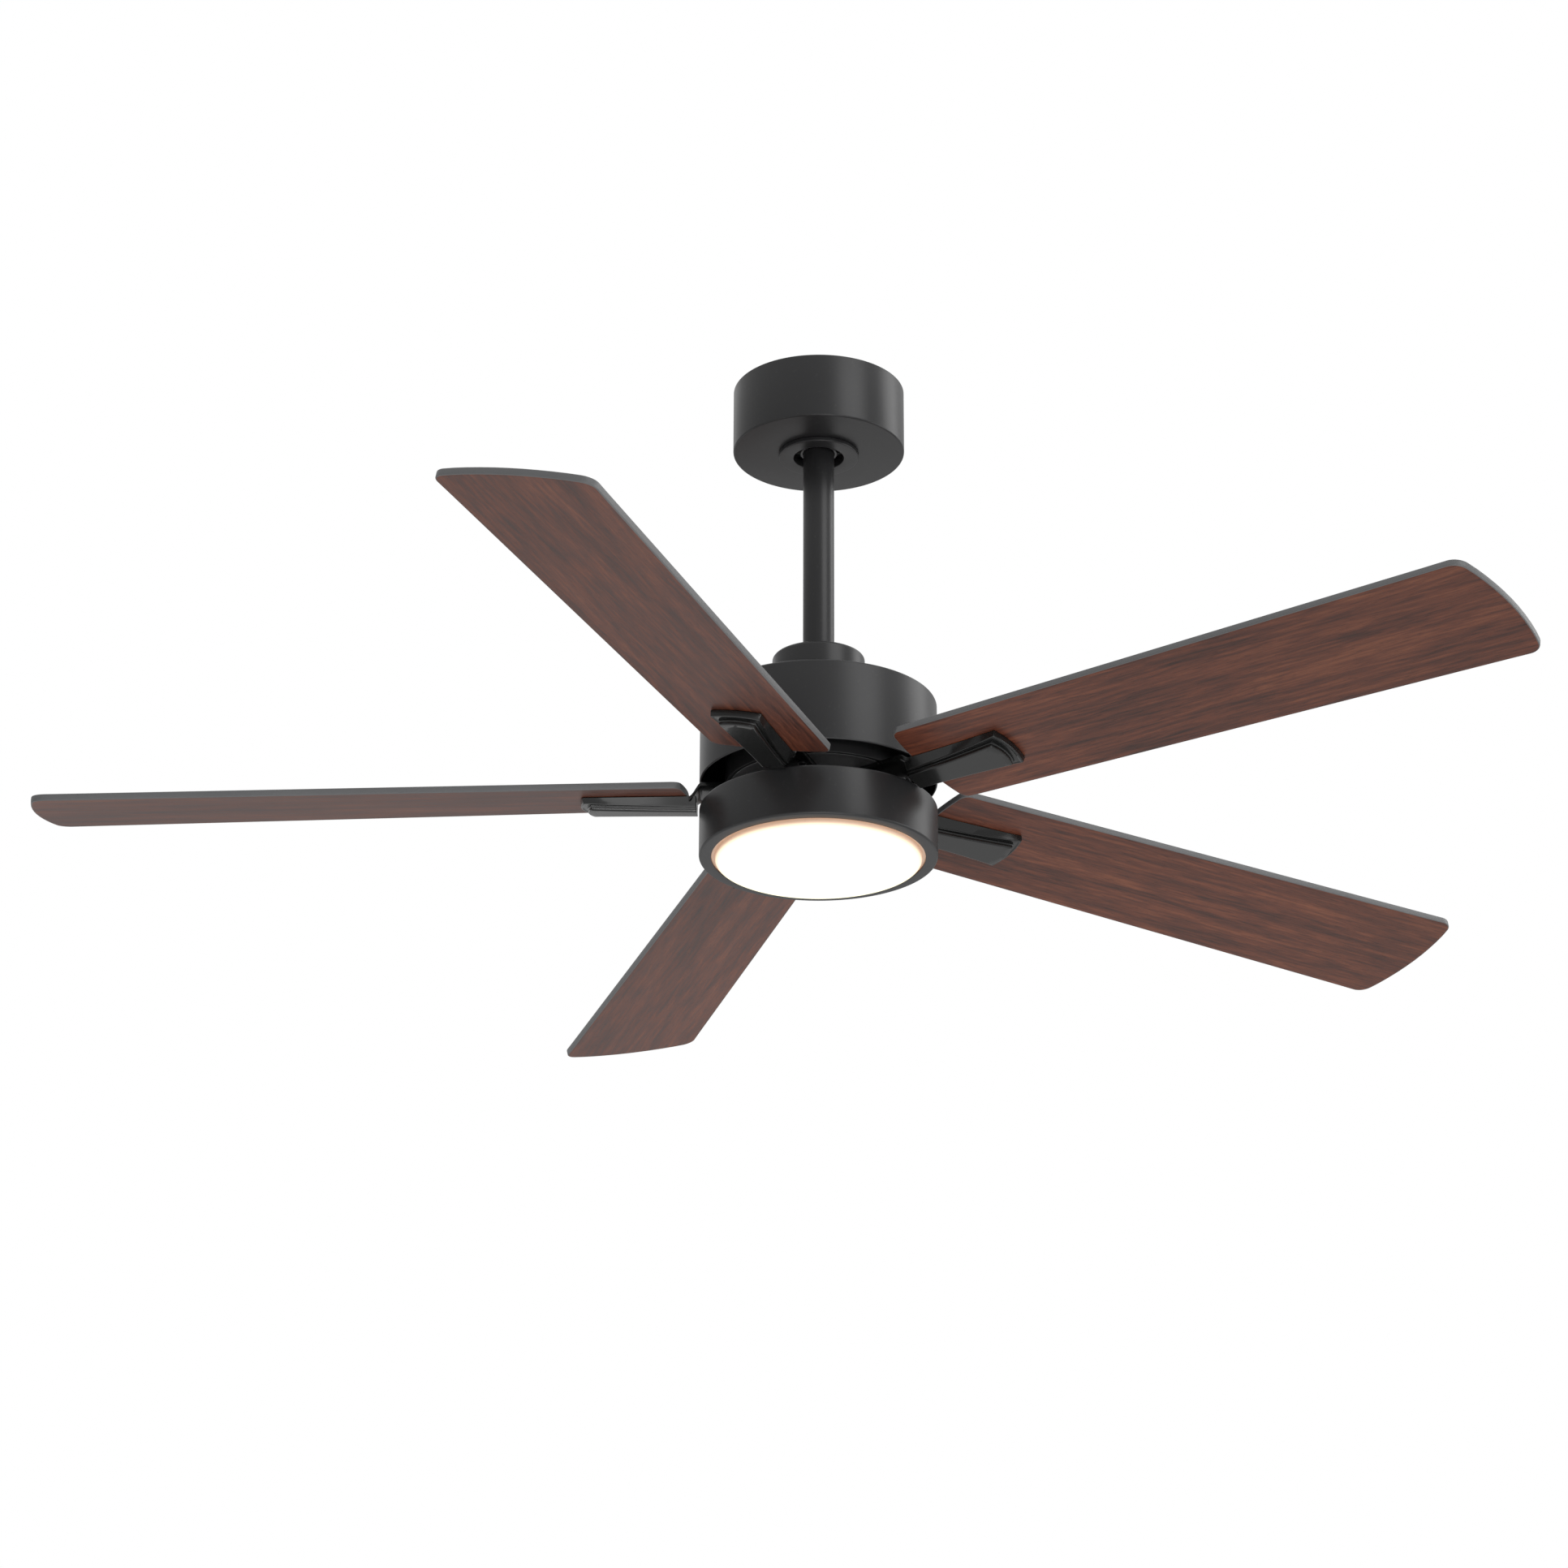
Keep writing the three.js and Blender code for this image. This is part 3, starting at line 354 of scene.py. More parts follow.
RING_WIDTH = 0.0128
inner, outer, floor = ring_high.y - RING_WIDTH, ring_high.y, ring_low.z
canopy_ring = skinned("canopy_trim", revolved(rounded([
    (inner, floor, RING_EDGE * 0.6), (outer, floor, RING_EDGE), (outer, floor + 0.004, 0.0003),
    (outer - wall, floor + 0.004, 0.0003), (outer - wall, floor + wall, 0),
    (inner + wall, floor + wall, 0), (inner + wall, ring_high.z, 0.0003), (inner, ring_high.z, 0.0003)]),
    144))
canopy_ring.data.materials.append(black_enamel)
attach(canopy_ring, "ceiling_side")
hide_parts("canopy_ring")

# ---------------------------------------------------------------------------
# Ceiling bracket. Pressed from zinc-plated steel: a round plate that screws to the ceiling box,
# with two openings for the house wiring, and two legs that hold the seat of the hanger ball. The
# seat's slot is open in front, where the rod is hooked in.

LEG_INNER, LEG_THICKNESS, LEG_HALF = 0.035, 0.0025, 0.02
SEAT_THICKNESS, SEAT_HOLE, ROD_SLOT_HALF = 0.003, 0.0216, 0.01485
BALL_HEIGHT = -0.036


def circle(radius, count=16, centre=(0.0, 0.0)):
    """Points on a circle, anticlockwise."""
    angle = np.linspace(0, 2 * math.pi, count, endpoint=False)
    return np.stack([centre[0] + radius * np.cos(angle), centre[1] + radius * np.sin(angle)], 1)


def box_outline(half_length, half_width, fillet):
    """A rectangle with rounded corners, as a function of how far it moves in."""
    def outline_at(inset):
        length, width = half_length - inset, half_width - inset
        corner = max(fillet - inset, 0.0002)
        return rounded([(-length, -width, corner), (length, -width, corner),
                        (length, width, corner), (-length, width, corner)], 6)
    return outline_at


def pressed(outlines, thickness, edge=0.0003):
    """A flat sheet inside its first outline, with the others as holes: a filled flat curve with
    rounded edges about z = 0, made a mesh before it is placed."""
    curve = bpy.data.curves.new("pressing", "CURVE")
    curve.dimensions, curve.fill_mode = "2D", "BOTH"
    curve.extrude, curve.bevel_depth, curve.bevel_resolution = thickness / 2 - edge, edge, 1
    for outline in outlines:
        spline = curve.splines.new("POLY")
        spline.points.add(len(outline) - 1)
        spline.points.foreach_set("co", np.column_stack([outline, np.zeros((len(outline), 2))]).ravel())
        spline.use_cyclic_u = True
    holder = bpy.data.objects.new("pressing", curve)
    mesh = bpy.data.meshes.new_from_object(holder)
    mesh.calc_loop_triangles()
    points, faces = np.empty(len(mesh.vertices) * 3), np.empty(len(mesh.loop_triangles) * 3, int)
    mesh.vertices.foreach_get("co", points)
    mesh.loop_triangles.foreach_get("vertices", faces)
    bpy.data.objects.remove(holder)
    bpy.data.meshes.remove(mesh)
    bpy.data.curves.remove(curve)
    return points.reshape(-1, 3), faces.reshape(-1, 3)


def levels(outline_at, section):
    """Closed rings of points: the outline moved in by each step's inset, at that step's height."""
    return [np.column_stack([outline_at(inset), np.full(len(outline_at(inset)), height)])
            for inset, height in section]


def slab(rings, ends):
    """A flat piece from closed rings, bottom to top. Both faces close on a spine: the end ring's
    points moved to y = 0 between the two ends, at the height that the ring has there."""
    spines = []
    for ring in (rings[0], rings[-1]):
        order, along = np.argsort(ring[:, 0]), np.clip(ring[:, 0], *ends)
        height = np.interp(along, ring[order, 0], ring[order, 2])
        spines.append(np.column_stack([along, 0 * along, height]))
    return quads(np.stack([spines[0], *rings, spines[1]], 1), True, False)


def arc_steps(centre, radius, start, end, count=5):
    """Steps of (inset, height) along an arc, angles in degrees."""
    angle = np.radians(np.linspace(start, end, count))
    return [(centre[0] + radius * math.cos(a), centre[1] + radius * math.sin(a)) for a in angle]


def screw(head_radius, head_height, shank_radius, length, pitch=0.0008, around=32):
    """A pan-headed screw with its seat at z = 0. The thread adds a triangle wave that climbs one
    pitch each turn; the cross recess lowers the head where min(|x|, |y|) is small."""
    threads = np.arange(-length + 0.001, -0.0008, pitch / 3)
    dome = np.linspace(0, math.pi / 2, 8)
    r = np.concatenate([[0, shank_radius * 0.5], 0 * threads + shank_radius, [shank_radius],
                        [head_radius * 0.97, head_radius], head_radius * np.cos(dome) ** 0.7])
    z = np.concatenate([[-length, -length + 0.0004], threads, [0.0],
                        [0.0, 0.0002], head_height * (0.3 + 0.7 * np.sin(dome))])
    r[-1] = 0
    inner = np.linspace(0.6, 0.1, 6) * head_radius
    inner_z = head_height * (0.3 + 0.7 * np.sqrt(np.clip(1 - (inner / head_radius) ** 2, 0, 1)))
    keep = r[:-1] > 0.65 * head_radius
    keep[:len(threads) + 3] = True
    r, z = np.concatenate([r[:-1][keep], inner, [0]]), np.concatenate([z[:-1][keep], inner_z, [head_height]])
    angle = np.linspace(0, 2 * math.pi, around, endpoint=False)[:, None]
    wave = np.abs((z[None] / pitch - angle / (2 * math.pi)) % 1 - 0.5) * 2 - 0.5
    threaded = ((np.arange(len(r)) >= 2) & (np.arange(len(r)) < 2 + len(threads)))[None]
    swelled = r[None] + np.where(threaded, wave * pitch * 0.45, 0)
    x, y = swelled * np.cos(angle), swelled * np.sin(angle)
    arm = np.minimum(np.abs(x), np.abs(y)) < 0.13 * head_radius
    sunk = arm & (swelled < 0.62 * head_radius) & (z[None] > 0.3 * head_height)
    return quads(np.stack([x, y, z[None] - np.where(sunk, 0.5 * head_height, 0)], -1))


def metal_effect():
    """Bare or plated metal: cloudy tone, fine scratches drawn out along X, and a dull grain."""
    group, given, gives = effect("plated_metal",
                                 {"Tone": (0.55, 0.56, 0.57), "Gloss": 0.28, "Scratch": 220.0})
    cloud, grain = (node(group, "ShaderNodeTexNoise", Scale=scale, Detail=4.0) for scale in (45.0, 1900.0))
    stretch = node(group, "ShaderNodeMapping")
    stretch.inputs["Scale"].default_value = (0.06, 1.0, 1.0)
    scratch = node(group, "ShaderNodeTexNoise", Detail=3.0)
    group.links.new(given.outputs["Vector"], stretch.inputs["Vector"])
    group.links.new(stretch.outputs["Vector"], scratch.inputs["Vector"])
    group.links.new(given.outputs["Scratch"], scratch.inputs["Scale"])
    for texture in (cloud, grain):
        group.links.new(given.outputs["Vector"], texture.inputs["Vector"])
    group.links.new(shaded(group, given.outputs["Tone"], cloud.outputs["Fac"], 0.75, 1.25),
                    gives.inputs["Color"])
    gloss = math_node(group, "MULTIPLY_ADD", scratch.outputs["Fac"], 0.22)
    group.links.new(given.outputs["Gloss"], gloss.node.inputs[2])
    group.links.new(gloss, gives.inputs["Roughness"])
    group.links.new(math_node(group, "ADD", scratch.outputs["Fac"],
                              math_node(group, "MULTIPLY", grain.outputs["Fac"], 0.4)),
                    gives.inputs["Height"])
    return group


plated_metal = metal_effect()
bracket_steel = finished("bracket_steel", plated_metal, {"Tone": (0.5, 0.51, 0.52), "Gloss": 0.3}, 0.08,
                         Metallic=1.0)
low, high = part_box("ceiling_bracket")
wire_opening = box_outline(0.012, 0.014, 0.002)(0)
screw_slot = box_outline(0.0025, 0.006, 0.0024)(0)
plate = pressed([circle(high.y - 0.0002, 144), *(wire_opening + (side * 0.018, 0) for side in (-1, 1)),
                 *(screw_slot + (side * 0.0445, 0) for side in (-1, 1))], 0.002)
leg_height = -0.0015 - low.z
leg = pressed([box_outline(LEG_HALF, leg_height / 2, 0.0005)(0),
               circle(0.0029, 32, (0, BALL_HEIGHT - low.z - leg_height / 2))],
              LEG_THICKNESS)
upright = Matrix(((0, 0, 1, 0), (1, 0, 0, 0), (0, 1, 0, 0), (0, 0, 0, 1)))
legs = [moved(leg, Matrix.Translation((side * (LEG_INNER + LEG_THICKNESS / 2), 0,
                                       low.z + leg_height / 2)) @ upright)
        for side in (-1, 1)]
meets = math.acos(ROD_SLOT_HALF / SEAT_HOLE)
round_hole = np.linspace(math.pi + meets, -meets, 64)
seat_edge = LEG_INNER + LEG_THICKNESS
seat_outline = np.concatenate([
    [(-seat_edge, -LEG_HALF), (-ROD_SLOT_HALF, -LEG_HALF)],
    SEAT_HOLE * np.stack([np.cos(round_hole), np.sin(round_hole)], 1),
    [(ROD_SLOT_HALF, -LEG_HALF), (seat_edge, -LEG_HALF), (seat_edge, LEG_HALF), (-seat_edge, LEG_HALF)]])
CANOPY_SCREW_PLACE = 0.0281
seat = pressed([seat_outline, *(circle(0.0023, 24, (side * CANOPY_SCREW_PLACE, 0)) for side in (-1, 1))],
               SEAT_THICKNESS)
bracket = skinned("bracket_pressing", moved(plate, Matrix.Translation((0, 0, -0.001))), *legs,
                  moved(seat, Matrix.Translation((0, 0, low.z + SEAT_THICKNESS / 2))), outward=True)
bracket.data.materials.append(bracket_steel)
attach(bracket, "ceiling_side")
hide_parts("ceiling_bracket")

# ---------------------------------------------------------------------------
# Canopy screws. Two pan-headed steel screws, zinc plated, go up through the canopy's floor into
# the bracket's seat; the trim ring covers their heads.

SEATING_GAP = 0.0003  # what rests on another piece stands this far off it
zinc_steel = finished("zinc_steel", plated_metal,
                      {"Tone": (0.56, 0.57, 0.58), "Gloss": 0.2, "Scratch": 900.0},
                      0.1, Metallic=1.0)
head_down = Matrix.Rotation(math.pi, 4, "X")
canopy_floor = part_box("canopy")[0].z
for i, side in enumerate((-1, 1)):
    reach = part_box(f"canopy_screw_{i + 1}")[1].z - canopy_floor + SEATING_GAP
    place = Matrix.Translation((side * CANOPY_SCREW_PLACE, 0, canopy_floor - SEATING_GAP)) @ head_down
    canopy_screw = skinned(f"canopy_screw_{i + 1}_thread", moved(screw(0.0036, 0.002, 0.0018, reach), place))
    canopy_screw.data.materials.append(zinc_steel)
    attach(canopy_screw, "ceiling_side")
    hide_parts(f"canopy_screw_{i + 1}")

# ---------------------------------------------------------------------------
# Receiver. The remote control's moulded plastic box, tucked behind the hanger ball, in two halves
# that meet in a seam round the middle.

low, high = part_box("receiver")
middle, size = (low + high) / 2, high - low
CASE_EDGE, SEAM = 0.0014, 0.0004
case_section = [(0.006, 0.0), *arc_steps((CASE_EDGE, CASE_EDGE), CASE_EDGE, -90, -180),
                (0.0, size.z / 2 - SEAM), (SEAM, size.z / 2 - SEAM / 2), (SEAM, size.z / 2 + SEAM / 2),
                (0.0, size.z / 2 + SEAM), *arc_steps((CASE_EDGE, size.z - CASE_EDGE), CASE_EDGE, 180, 90),
                (0.006, size.z)]
case = slab(levels(box_outline(size.x / 2, size.y / 2, 0.003), case_section),
            (-size.x / 2 + 0.011, size.x / 2 - 0.011))
moulded_black = finished("moulded_black", coat_skin,
                         {"Tone": (0.019, 0.019, 0.02), "Gloss": 0.46, "Peel": 1800.0}, 0.25)
receiver = skinned("receiver_case", moved(case, Matrix.Translation((middle.x, middle.y, low.z))))
receiver.data.materials.append(moulded_black)
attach(receiver, "ceiling_side")
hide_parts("receiver")

# ---------------------------------------------------------------------------
# Hanger ball. Glossy black nylon, moulded with a neck below and a slot in its right side; a steel
# pin through ball and rod carries the fan, and a headed stud in the bracket's leg stands in the
# slot, so that the ball tilts but can't turn.

BALL_RADIUS, BALL_CAP, BALL_BORE = 0.025, 0.017, 0.01365
NECK_RADIUS, NECK_DEPTH = 0.01625, 0.023
PIN_RISE, PIN_HOLE, SLOT_FLOOR, SLOT_HALF = 0.005, 0.0034, 0.0195, 0.0028


def ball_shell():
    """A sphere of radius R cut flat above, with a neck and a bore; inside the slot its radius is
    the slot floor's, and over the pin's ends its |y| is a recess floor's."""
    low_angle, high_angle = -math.acos(NECK_RADIUS / BALL_RADIUS), math.asin(BALL_CAP / BALL_RADIUS)
    sphere = [(BALL_RADIUS * math.cos(a), BALL_RADIUS * math.sin(a))
              for a in np.linspace(low_angle, high_angle, 64)]
    outline = rounded([(BALL_BORE, -NECK_DEPTH, 0.0005), (NECK_RADIUS, -NECK_DEPTH, 0.0009),
                       *((r, z, 0) for r, z in sphere), (BALL_BORE, BALL_CAP, 0.0005)])
    points, faces = revolved(outline, 240)
    x, y, z = points.T
    reach = np.hypot(x, y)
    in_slot = (x > 0) & (np.abs(y) < SLOT_HALF) & (z > -0.0085) & (reach > SLOT_FLOOR)
    over_pin = (np.hypot(x, z - PIN_RISE) < PIN_HOLE) & (np.abs(y) > 0.0222)
    x = np.where(in_slot, np.sqrt(np.maximum(SLOT_FLOOR**2 - y**2, 0)), x)
    y = np.where(over_pin, np.sign(y) * 0.0221, y)
    return np.stack([x, y, z], 1), faces


ball_nylon = finished("ball_nylon", coat_skin, {"Tone": (0.014, 0.014, 0.015), "Gloss": 0.16, "Peel": 500.0},
                      0.04)
ball = skinned("hanger_ball_moulding", moved(ball_shell(), Matrix.Translation((0, 0, BALL_HEIGHT))))
ball.data.materials.append(ball_nylon)
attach(ball, "fan")
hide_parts("hanger_ball")

pin_half, pin_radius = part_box("hanger_pin")[1].y, 0.003
across_y = Matrix.Translation((0, 0, BALL_HEIGHT + PIN_RISE)) @ Matrix.Rotation(math.pi / 2, 4, "X")
hanger_pin = skinned("hanger_pin_bar", moved(revolved(rounded([
    (0, -pin_half, 0), (pin_radius, -pin_half, 0.0006), (pin_radius, pin_half, 0.0006), (0, pin_half, 0)]),
    48), across_y))
hanger_pin.data.materials.append(zinc_steel)
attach(hanger_pin, "fan")
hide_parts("hanger_pin")

low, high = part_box("registration_pin")
along_x = Matrix.Translation((0, 0, BALL_HEIGHT)) @ Matrix.Rotation(math.pi / 2, 4, "Y")
stud_outline = rounded([(0, low.x, 0), (0.0025, low.x, 0.0008), (0.0025, high.x - 0.0025, 0.0003),
                        (0.0045, high.x - 0.0025, 0.0004), (0.0045, high.x, 0.001), (0, high.x, 0)])
stud = skinned("registration_stud", moved(revolved(stud_outline, 48), along_x))
stud.data.materials.append(zinc_steel)
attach(stud, "registration_pin")
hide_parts("registration_pin")

# ---------------------------------------------------------------------------
# Downrod. A 3/4 inch steel pipe, powder coated black outside, drawn as a plain tube without the
# cross holes it has at both ends; the motor's lead in its round rubber jacket runs down inside it
# to the light's driver.

ROD_BORE_WALL = 0.0029
LEAD_RADIUS = 0.002

low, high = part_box("downrod")
radius, bore = high.y, high.y - ROD_BORE_WALL
downrod = skinned("downrod_tube", revolved(rounded([
    (radius, low.z, 0.0005), (radius, high.z, 0.0005), (bore, high.z, 0.0004), (bore, low.z, 0.0004)], 3),
    96))
downrod.data.materials.append(black_enamel)
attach(downrod, "fan")
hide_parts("downrod")


def piped(path, section, close=False):
    """A section of (across, up) carried along a path. The across direction starts level and is kept
    square to the path from one point to the next; both ends close on the path itself."""
    path, section = np.asarray(path, float), np.asarray(section, float)
    ahead = np.gradient(path, axis=0)
    if close:
        ahead = np.roll(path, -1, 0) - np.roll(path, 1, 0)
    ahead /= np.linalg.norm(ahead, axis=1)[:, None]
    across = np.zeros_like(path)
    side = np.cross(ahead[0], (0.0, 0.0, 1.0) if abs(ahead[0][2]) < 0.9 else (0.0, 1.0, 0.0))
    for i, way in enumerate(ahead):
        side = side - way * (side @ way)
        side = side / np.linalg.norm(side)
        across[i] = side
    up = np.cross(across, ahead)
    grid = path[:, None] + across[:, None] * section[None, :, :1] + up[:, None] * section[None, :, 1:]
    if not close:
        ends = np.repeat(path[[0, -1], None], len(section), 1)
        grid = np.concatenate([ends[:1], grid, ends[1:]])
    return quads(grid, close, True)


def curved(points, count):
    """A smooth path of count points through the given ones: cubic pieces whose slopes at each point
    are half the step between its neighbours."""
    points = np.asarray(points, float)
    slope = np.gradient(points, axis=0)
    place = np.linspace(0, len(points) - 1, count)
    i = np.minimum(place.astype(int), len(points) - 2)
    t = (place - i)[:, None]
    return ((2 * t**3 - 3 * t**2 + 1) * points[i] + (t**3 - 2 * t**2 + t) * slope[i]
            + (3 * t**2 - 2 * t**3) * points[i + 1] + (t**3 - t**2) * slope[i + 1])


rubber = finished("lead_rubber", coat_skin, {"Tone": (0.02, 0.02, 0.021), "Gloss": 0.5, "Peel": 2400.0}, 0.2)
lead_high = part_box("motor_lead")[1]
aside = lead_high.x - LEAD_RADIUS
housing_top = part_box("motor_housing")[1].z
shaft_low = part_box("motor_shaft")[0].z
lead_path = curved([
    (aside, 0, lead_high.z), (aside, 0, (lead_high.z + low.z) / 2), (aside, 0, low.z + 0.017),
    (aside, 0, low.z + 0.009), (aside / 2, 0, low.z - 0.003), (0, 0, housing_top + 0.0103),
    (0, 0, housing_top - 0.02), (0, 0, (housing_top + shaft_low) / 2), (0, 0, shaft_low + 0.003),
    (0, 0.005, shaft_low - 0.006), (0, lead_high.y, shaft_low - 0.008)], 120)
lead = skinned("motor_lead_jacket", piped(lead_path, circle(LEAD_RADIUS)[::-1]))
lead.data.materials.append(rubber)
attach(lead, "fan")
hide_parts("motor_lead")

# ---------------------------------------------------------------------------
# Coupling cover. A drawn steel cup, powder coated black, that slides down the rod and hides the
# yoke; its bottom edge rests on the motor housing.

COVER_WALL, COVER_FILLET = 0.0015, 0.003

low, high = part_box("coupling_cover")
wall, hole = COVER_WALL, radius + 0.0003
cover = skinned("coupling_cup", revolved(rounded([
    (high.y, low.z, 0.0004), (high.y, high.z, COVER_FILLET), (hole, high.z, 0.0004),
    (hole, high.z - wall, 0), (high.y - wall, high.z - wall, COVER_FILLET - wall),
    (high.y - wall, low.z, 0.0004)], 8), 144))
cover.data.materials.append(black_enamel)
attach(cover, "fan")
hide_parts("coupling_cover")

# ---------------------------------------------------------------------------
# Motor yoke. A die-cast alloy socket on the motor's top: the rod stands in it, held by a clevis
# pin with a hairpin clip and squeezed by two set screws.

YOKE_RADIUS, YOKE_FLANGE, YOKE_FLANGE_HEIGHT = 0.018, 0.031, 0.0045
YOKE_BORE, YOKE_FLOOR, SHAFT_HOLE = 0.01365, 0.007, 0.0073

low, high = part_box("motor_yoke")
cast_alloy = finished("cast_alloy", plated_metal,
                      {"Tone": (0.43, 0.43, 0.44), "Gloss": 0.42, "Scratch": 1400.0},
                      0.3, Metallic=1.0)
yoke = skinned("yoke_casting", revolved(rounded([
    (SHAFT_HOLE, low.z, 0), (YOKE_FLANGE, low.z, 0.0006), (YOKE_FLANGE, low.z + YOKE_FLANGE_HEIGHT, 0.001),
    (YOKE_RADIUS, low.z + YOKE_FLANGE_HEIGHT, 0.002), (YOKE_RADIUS, high.z, 0.0008),
    (YOKE_BORE, high.z, 0.0004),
    (YOKE_BORE, low.z + YOKE_FLOOR, 0), (SHAFT_HOLE, low.z + YOKE_FLOOR, 0.0004)]), 96))
yoke.data.materials.append(cast_alloy)
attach(yoke, "fan")
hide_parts("motor_yoke")

low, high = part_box("clevis_pin")
pin_height, pin_tail, pin_head = (low.z + high.z) / 2, high.y, -low.y
clevis = revolved(rounded([
    (0, -pin_tail, 0), (0.003, -pin_tail, 0.0008), (0.003, pin_head - 0.0025, 0.0002),
    (0.0045, pin_head - 0.0025, 0.0004), (0.0045, pin_head, 0.0009), (0, pin_head, 0)]), 48)
clevis_pin = skinned("clevis_pin_bar", moved(clevis, Matrix.Translation((0, 0, pin_height))
                                             @ Matrix.Rotation(math.pi / 2, 4, "X")))
clevis_pin.data.materials.append(zinc_steel)
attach(clevis_pin, "fan")
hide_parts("clevis_pin")

low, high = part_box("hairpin_clip")
clip_path = curved([(x, (low.y + high.y) / 2, pin_height + z) for x, z in (
    (-0.007, 0), (0, 0), (0.009, 0), (0.012, 0.0022), (0.009, 0.0044), (0.003, 0.0046), (-0.003, 0.0048),
    (-0.006, 0.0058))], 64)
clip = skinned("hairpin_wire", piped(clip_path, circle(0.0008, 12)), outward=True)
clip.data.materials.append(zinc_steel)
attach(clip, "fan")
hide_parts("hairpin_clip")

for i, side in enumerate((-1, 1)):
    low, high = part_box(f"yoke_set_screw_{i + 1}")
    place = (Matrix.Translation((side * (YOKE_RADIUS + SEATING_GAP), 0, (low.z + high.z) / 2))
             @ Matrix.Rotation(side * math.pi / 2, 4, "Y"))
    set_screw = skinned(f"yoke_set_screw_{i + 1}_thread", moved(screw(0.004, 0.0032, 0.0023, 0.00465), place))
    set_screw.data.materials.append(zinc_steel)
    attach(set_screw, "fan")
    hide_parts(f"yoke_set_screw_{i + 1}")

# ---------------------------------------------------------------------------
# Motor housing. A deep drawn steel pan, powder coated black, bolted to the yoke's flange; it
# stands still while the rotor and blades turn inside and below its open rim.

HOUSING_WALL, HOUSING_FILLET = 0.0015, 0.002

low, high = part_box("motor_housing")
wall, hole = HOUSING_WALL, 0.0073
housing = skinned("motor_pan", revolved(rounded([
    (high.y, low.z, 0.0011), (high.y, high.z, HOUSING_FILLET), (hole, high.z, 0), (hole, high.z - wall, 0),
    (high.y - wall, high.z - wall, 0.001), (high.y - wall, low.z, 0.0003)]), 216))
housing.data.materials.append(black_enamel)
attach(housing, "fan")
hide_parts("motor_housing")

# ---------------------------------------------------------------------------
# Stator. The fixed heart of the motor, on a hollow ground shaft: a stack of thin steel laminations
# stamped with nine T-shaped poles, each wound with enamelled copper wire.

SHAFT_RADIUS, SHAFT_BORE = 0.007, 0.004
POLE_COUNT, STACK_HUB = 9, 0.034
POLE_HALF, POLE_TIP_HALF, POLE_TIP_DEPTH = 0.006, 0.017, 0.004
COIL_GAP, COIL_START, COIL_WIRE = 0.0006, 0.0372, 0.0011

low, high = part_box("motor_shaft")
shaft = skinned("shaft_tube", revolved(rounded([
    (SHAFT_BORE, low.z, 0.0003), (SHAFT_RADIUS, low.z, 0.0008), (SHAFT_RADIUS, high.z, 0.0006),
    (SHAFT_BORE, high.z, 0.0003)], 3), 72))
shaft.data.materials.append(zinc_steel)
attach(shaft, "fan")
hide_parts("motor_shaft")

low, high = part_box("stator_core")
STACK_RADIUS = max(high.x, high.y)


def pole_outline():
    """Nine equal T shapes round a hub, each corner at radius r and atan2(side, r) off its pole."""
    corners = np.array([(STACK_HUB, -POLE_HALF), (STACK_RADIUS - POLE_TIP_DEPTH, -POLE_HALF),
                        (STACK_RADIUS - POLE_TIP_DEPTH, -POLE_TIP_HALF), (STACK_RADIUS, -POLE_TIP_HALF),
                        (STACK_RADIUS, -POLE_TIP_HALF / 2), (STACK_RADIUS, 0),
                        (STACK_RADIUS, POLE_TIP_HALF / 2),
                        (STACK_RADIUS, POLE_TIP_HALF), (STACK_RADIUS - POLE_TIP_DEPTH, POLE_TIP_HALF),
                        (STACK_RADIUS - POLE_TIP_DEPTH, POLE_HALF), (STACK_HUB, POLE_HALF)])
    middle = np.arange(POLE_COUNT)[:, None] * 2 * math.pi / POLE_COUNT
    angle = (middle + np.arctan2(corners[:, 1], corners[:, 0])[None]).ravel()
    radius = np.tile(corners[:, 0], POLE_COUNT)
    return np.stack([radius * np.cos(angle), radius * np.sin(angle)], 1)


def lamination_effect():
    """Stacked sheets: fine lines square to the axis, each sheet a little lighter or darker."""
    group, given, gives = effect("stacked_sheets",
                                 {"Tone": (0.28, 0.28, 0.29), "Gloss": 0.32, "Sheets": 2000.0})
    split, layer = node(group, "ShaderNodeSeparateXYZ"), node(group, "ShaderNodeTexWhiteNoise",
                                                              noise_dimensions="1D")
    group.links.new(given.outputs["Vector"], split.inputs["Vector"])
    level = math_node(group, "MULTIPLY", split.outputs["Z"], 1.0)
    group.links.new(given.outputs["Sheets"], level.node.inputs[1])
    group.links.new(math_node(group, "FLOOR", level, 0.0), layer.inputs["W"])
    group.links.new(shaded(group, given.outputs["Tone"], layer.outputs["Value"], 0.7, 1.25),
                    gives.inputs["Color"])
    gloss = math_node(group, "MULTIPLY_ADD", layer.outputs["Value"], 0.15)
    group.links.new(given.outputs["Gloss"], gloss.node.inputs[2])
    group.links.new(gloss, gives.inputs["Roughness"])
    group.links.new(math_node(group, "PINGPONG", level, 0.5), gives.inputs["Height"])
    return group


stacked_sheets = lamination_effect()
lamination = finished("lamination", stacked_sheets, {}, 0.5, 0.0003, Metallic=1.0)
stack = pressed([pole_outline(), circle(SHAFT_HOLE, 48)], high.z - low.z, 0.0002)
core = skinned("stator_stack", moved(stack, Matrix.Translation((0, 0, (low.z + high.z) / 2))), outward=True,
               crease=25)
core.data.materials.append(lamination)
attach(core, "fan")
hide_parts("stator_core")


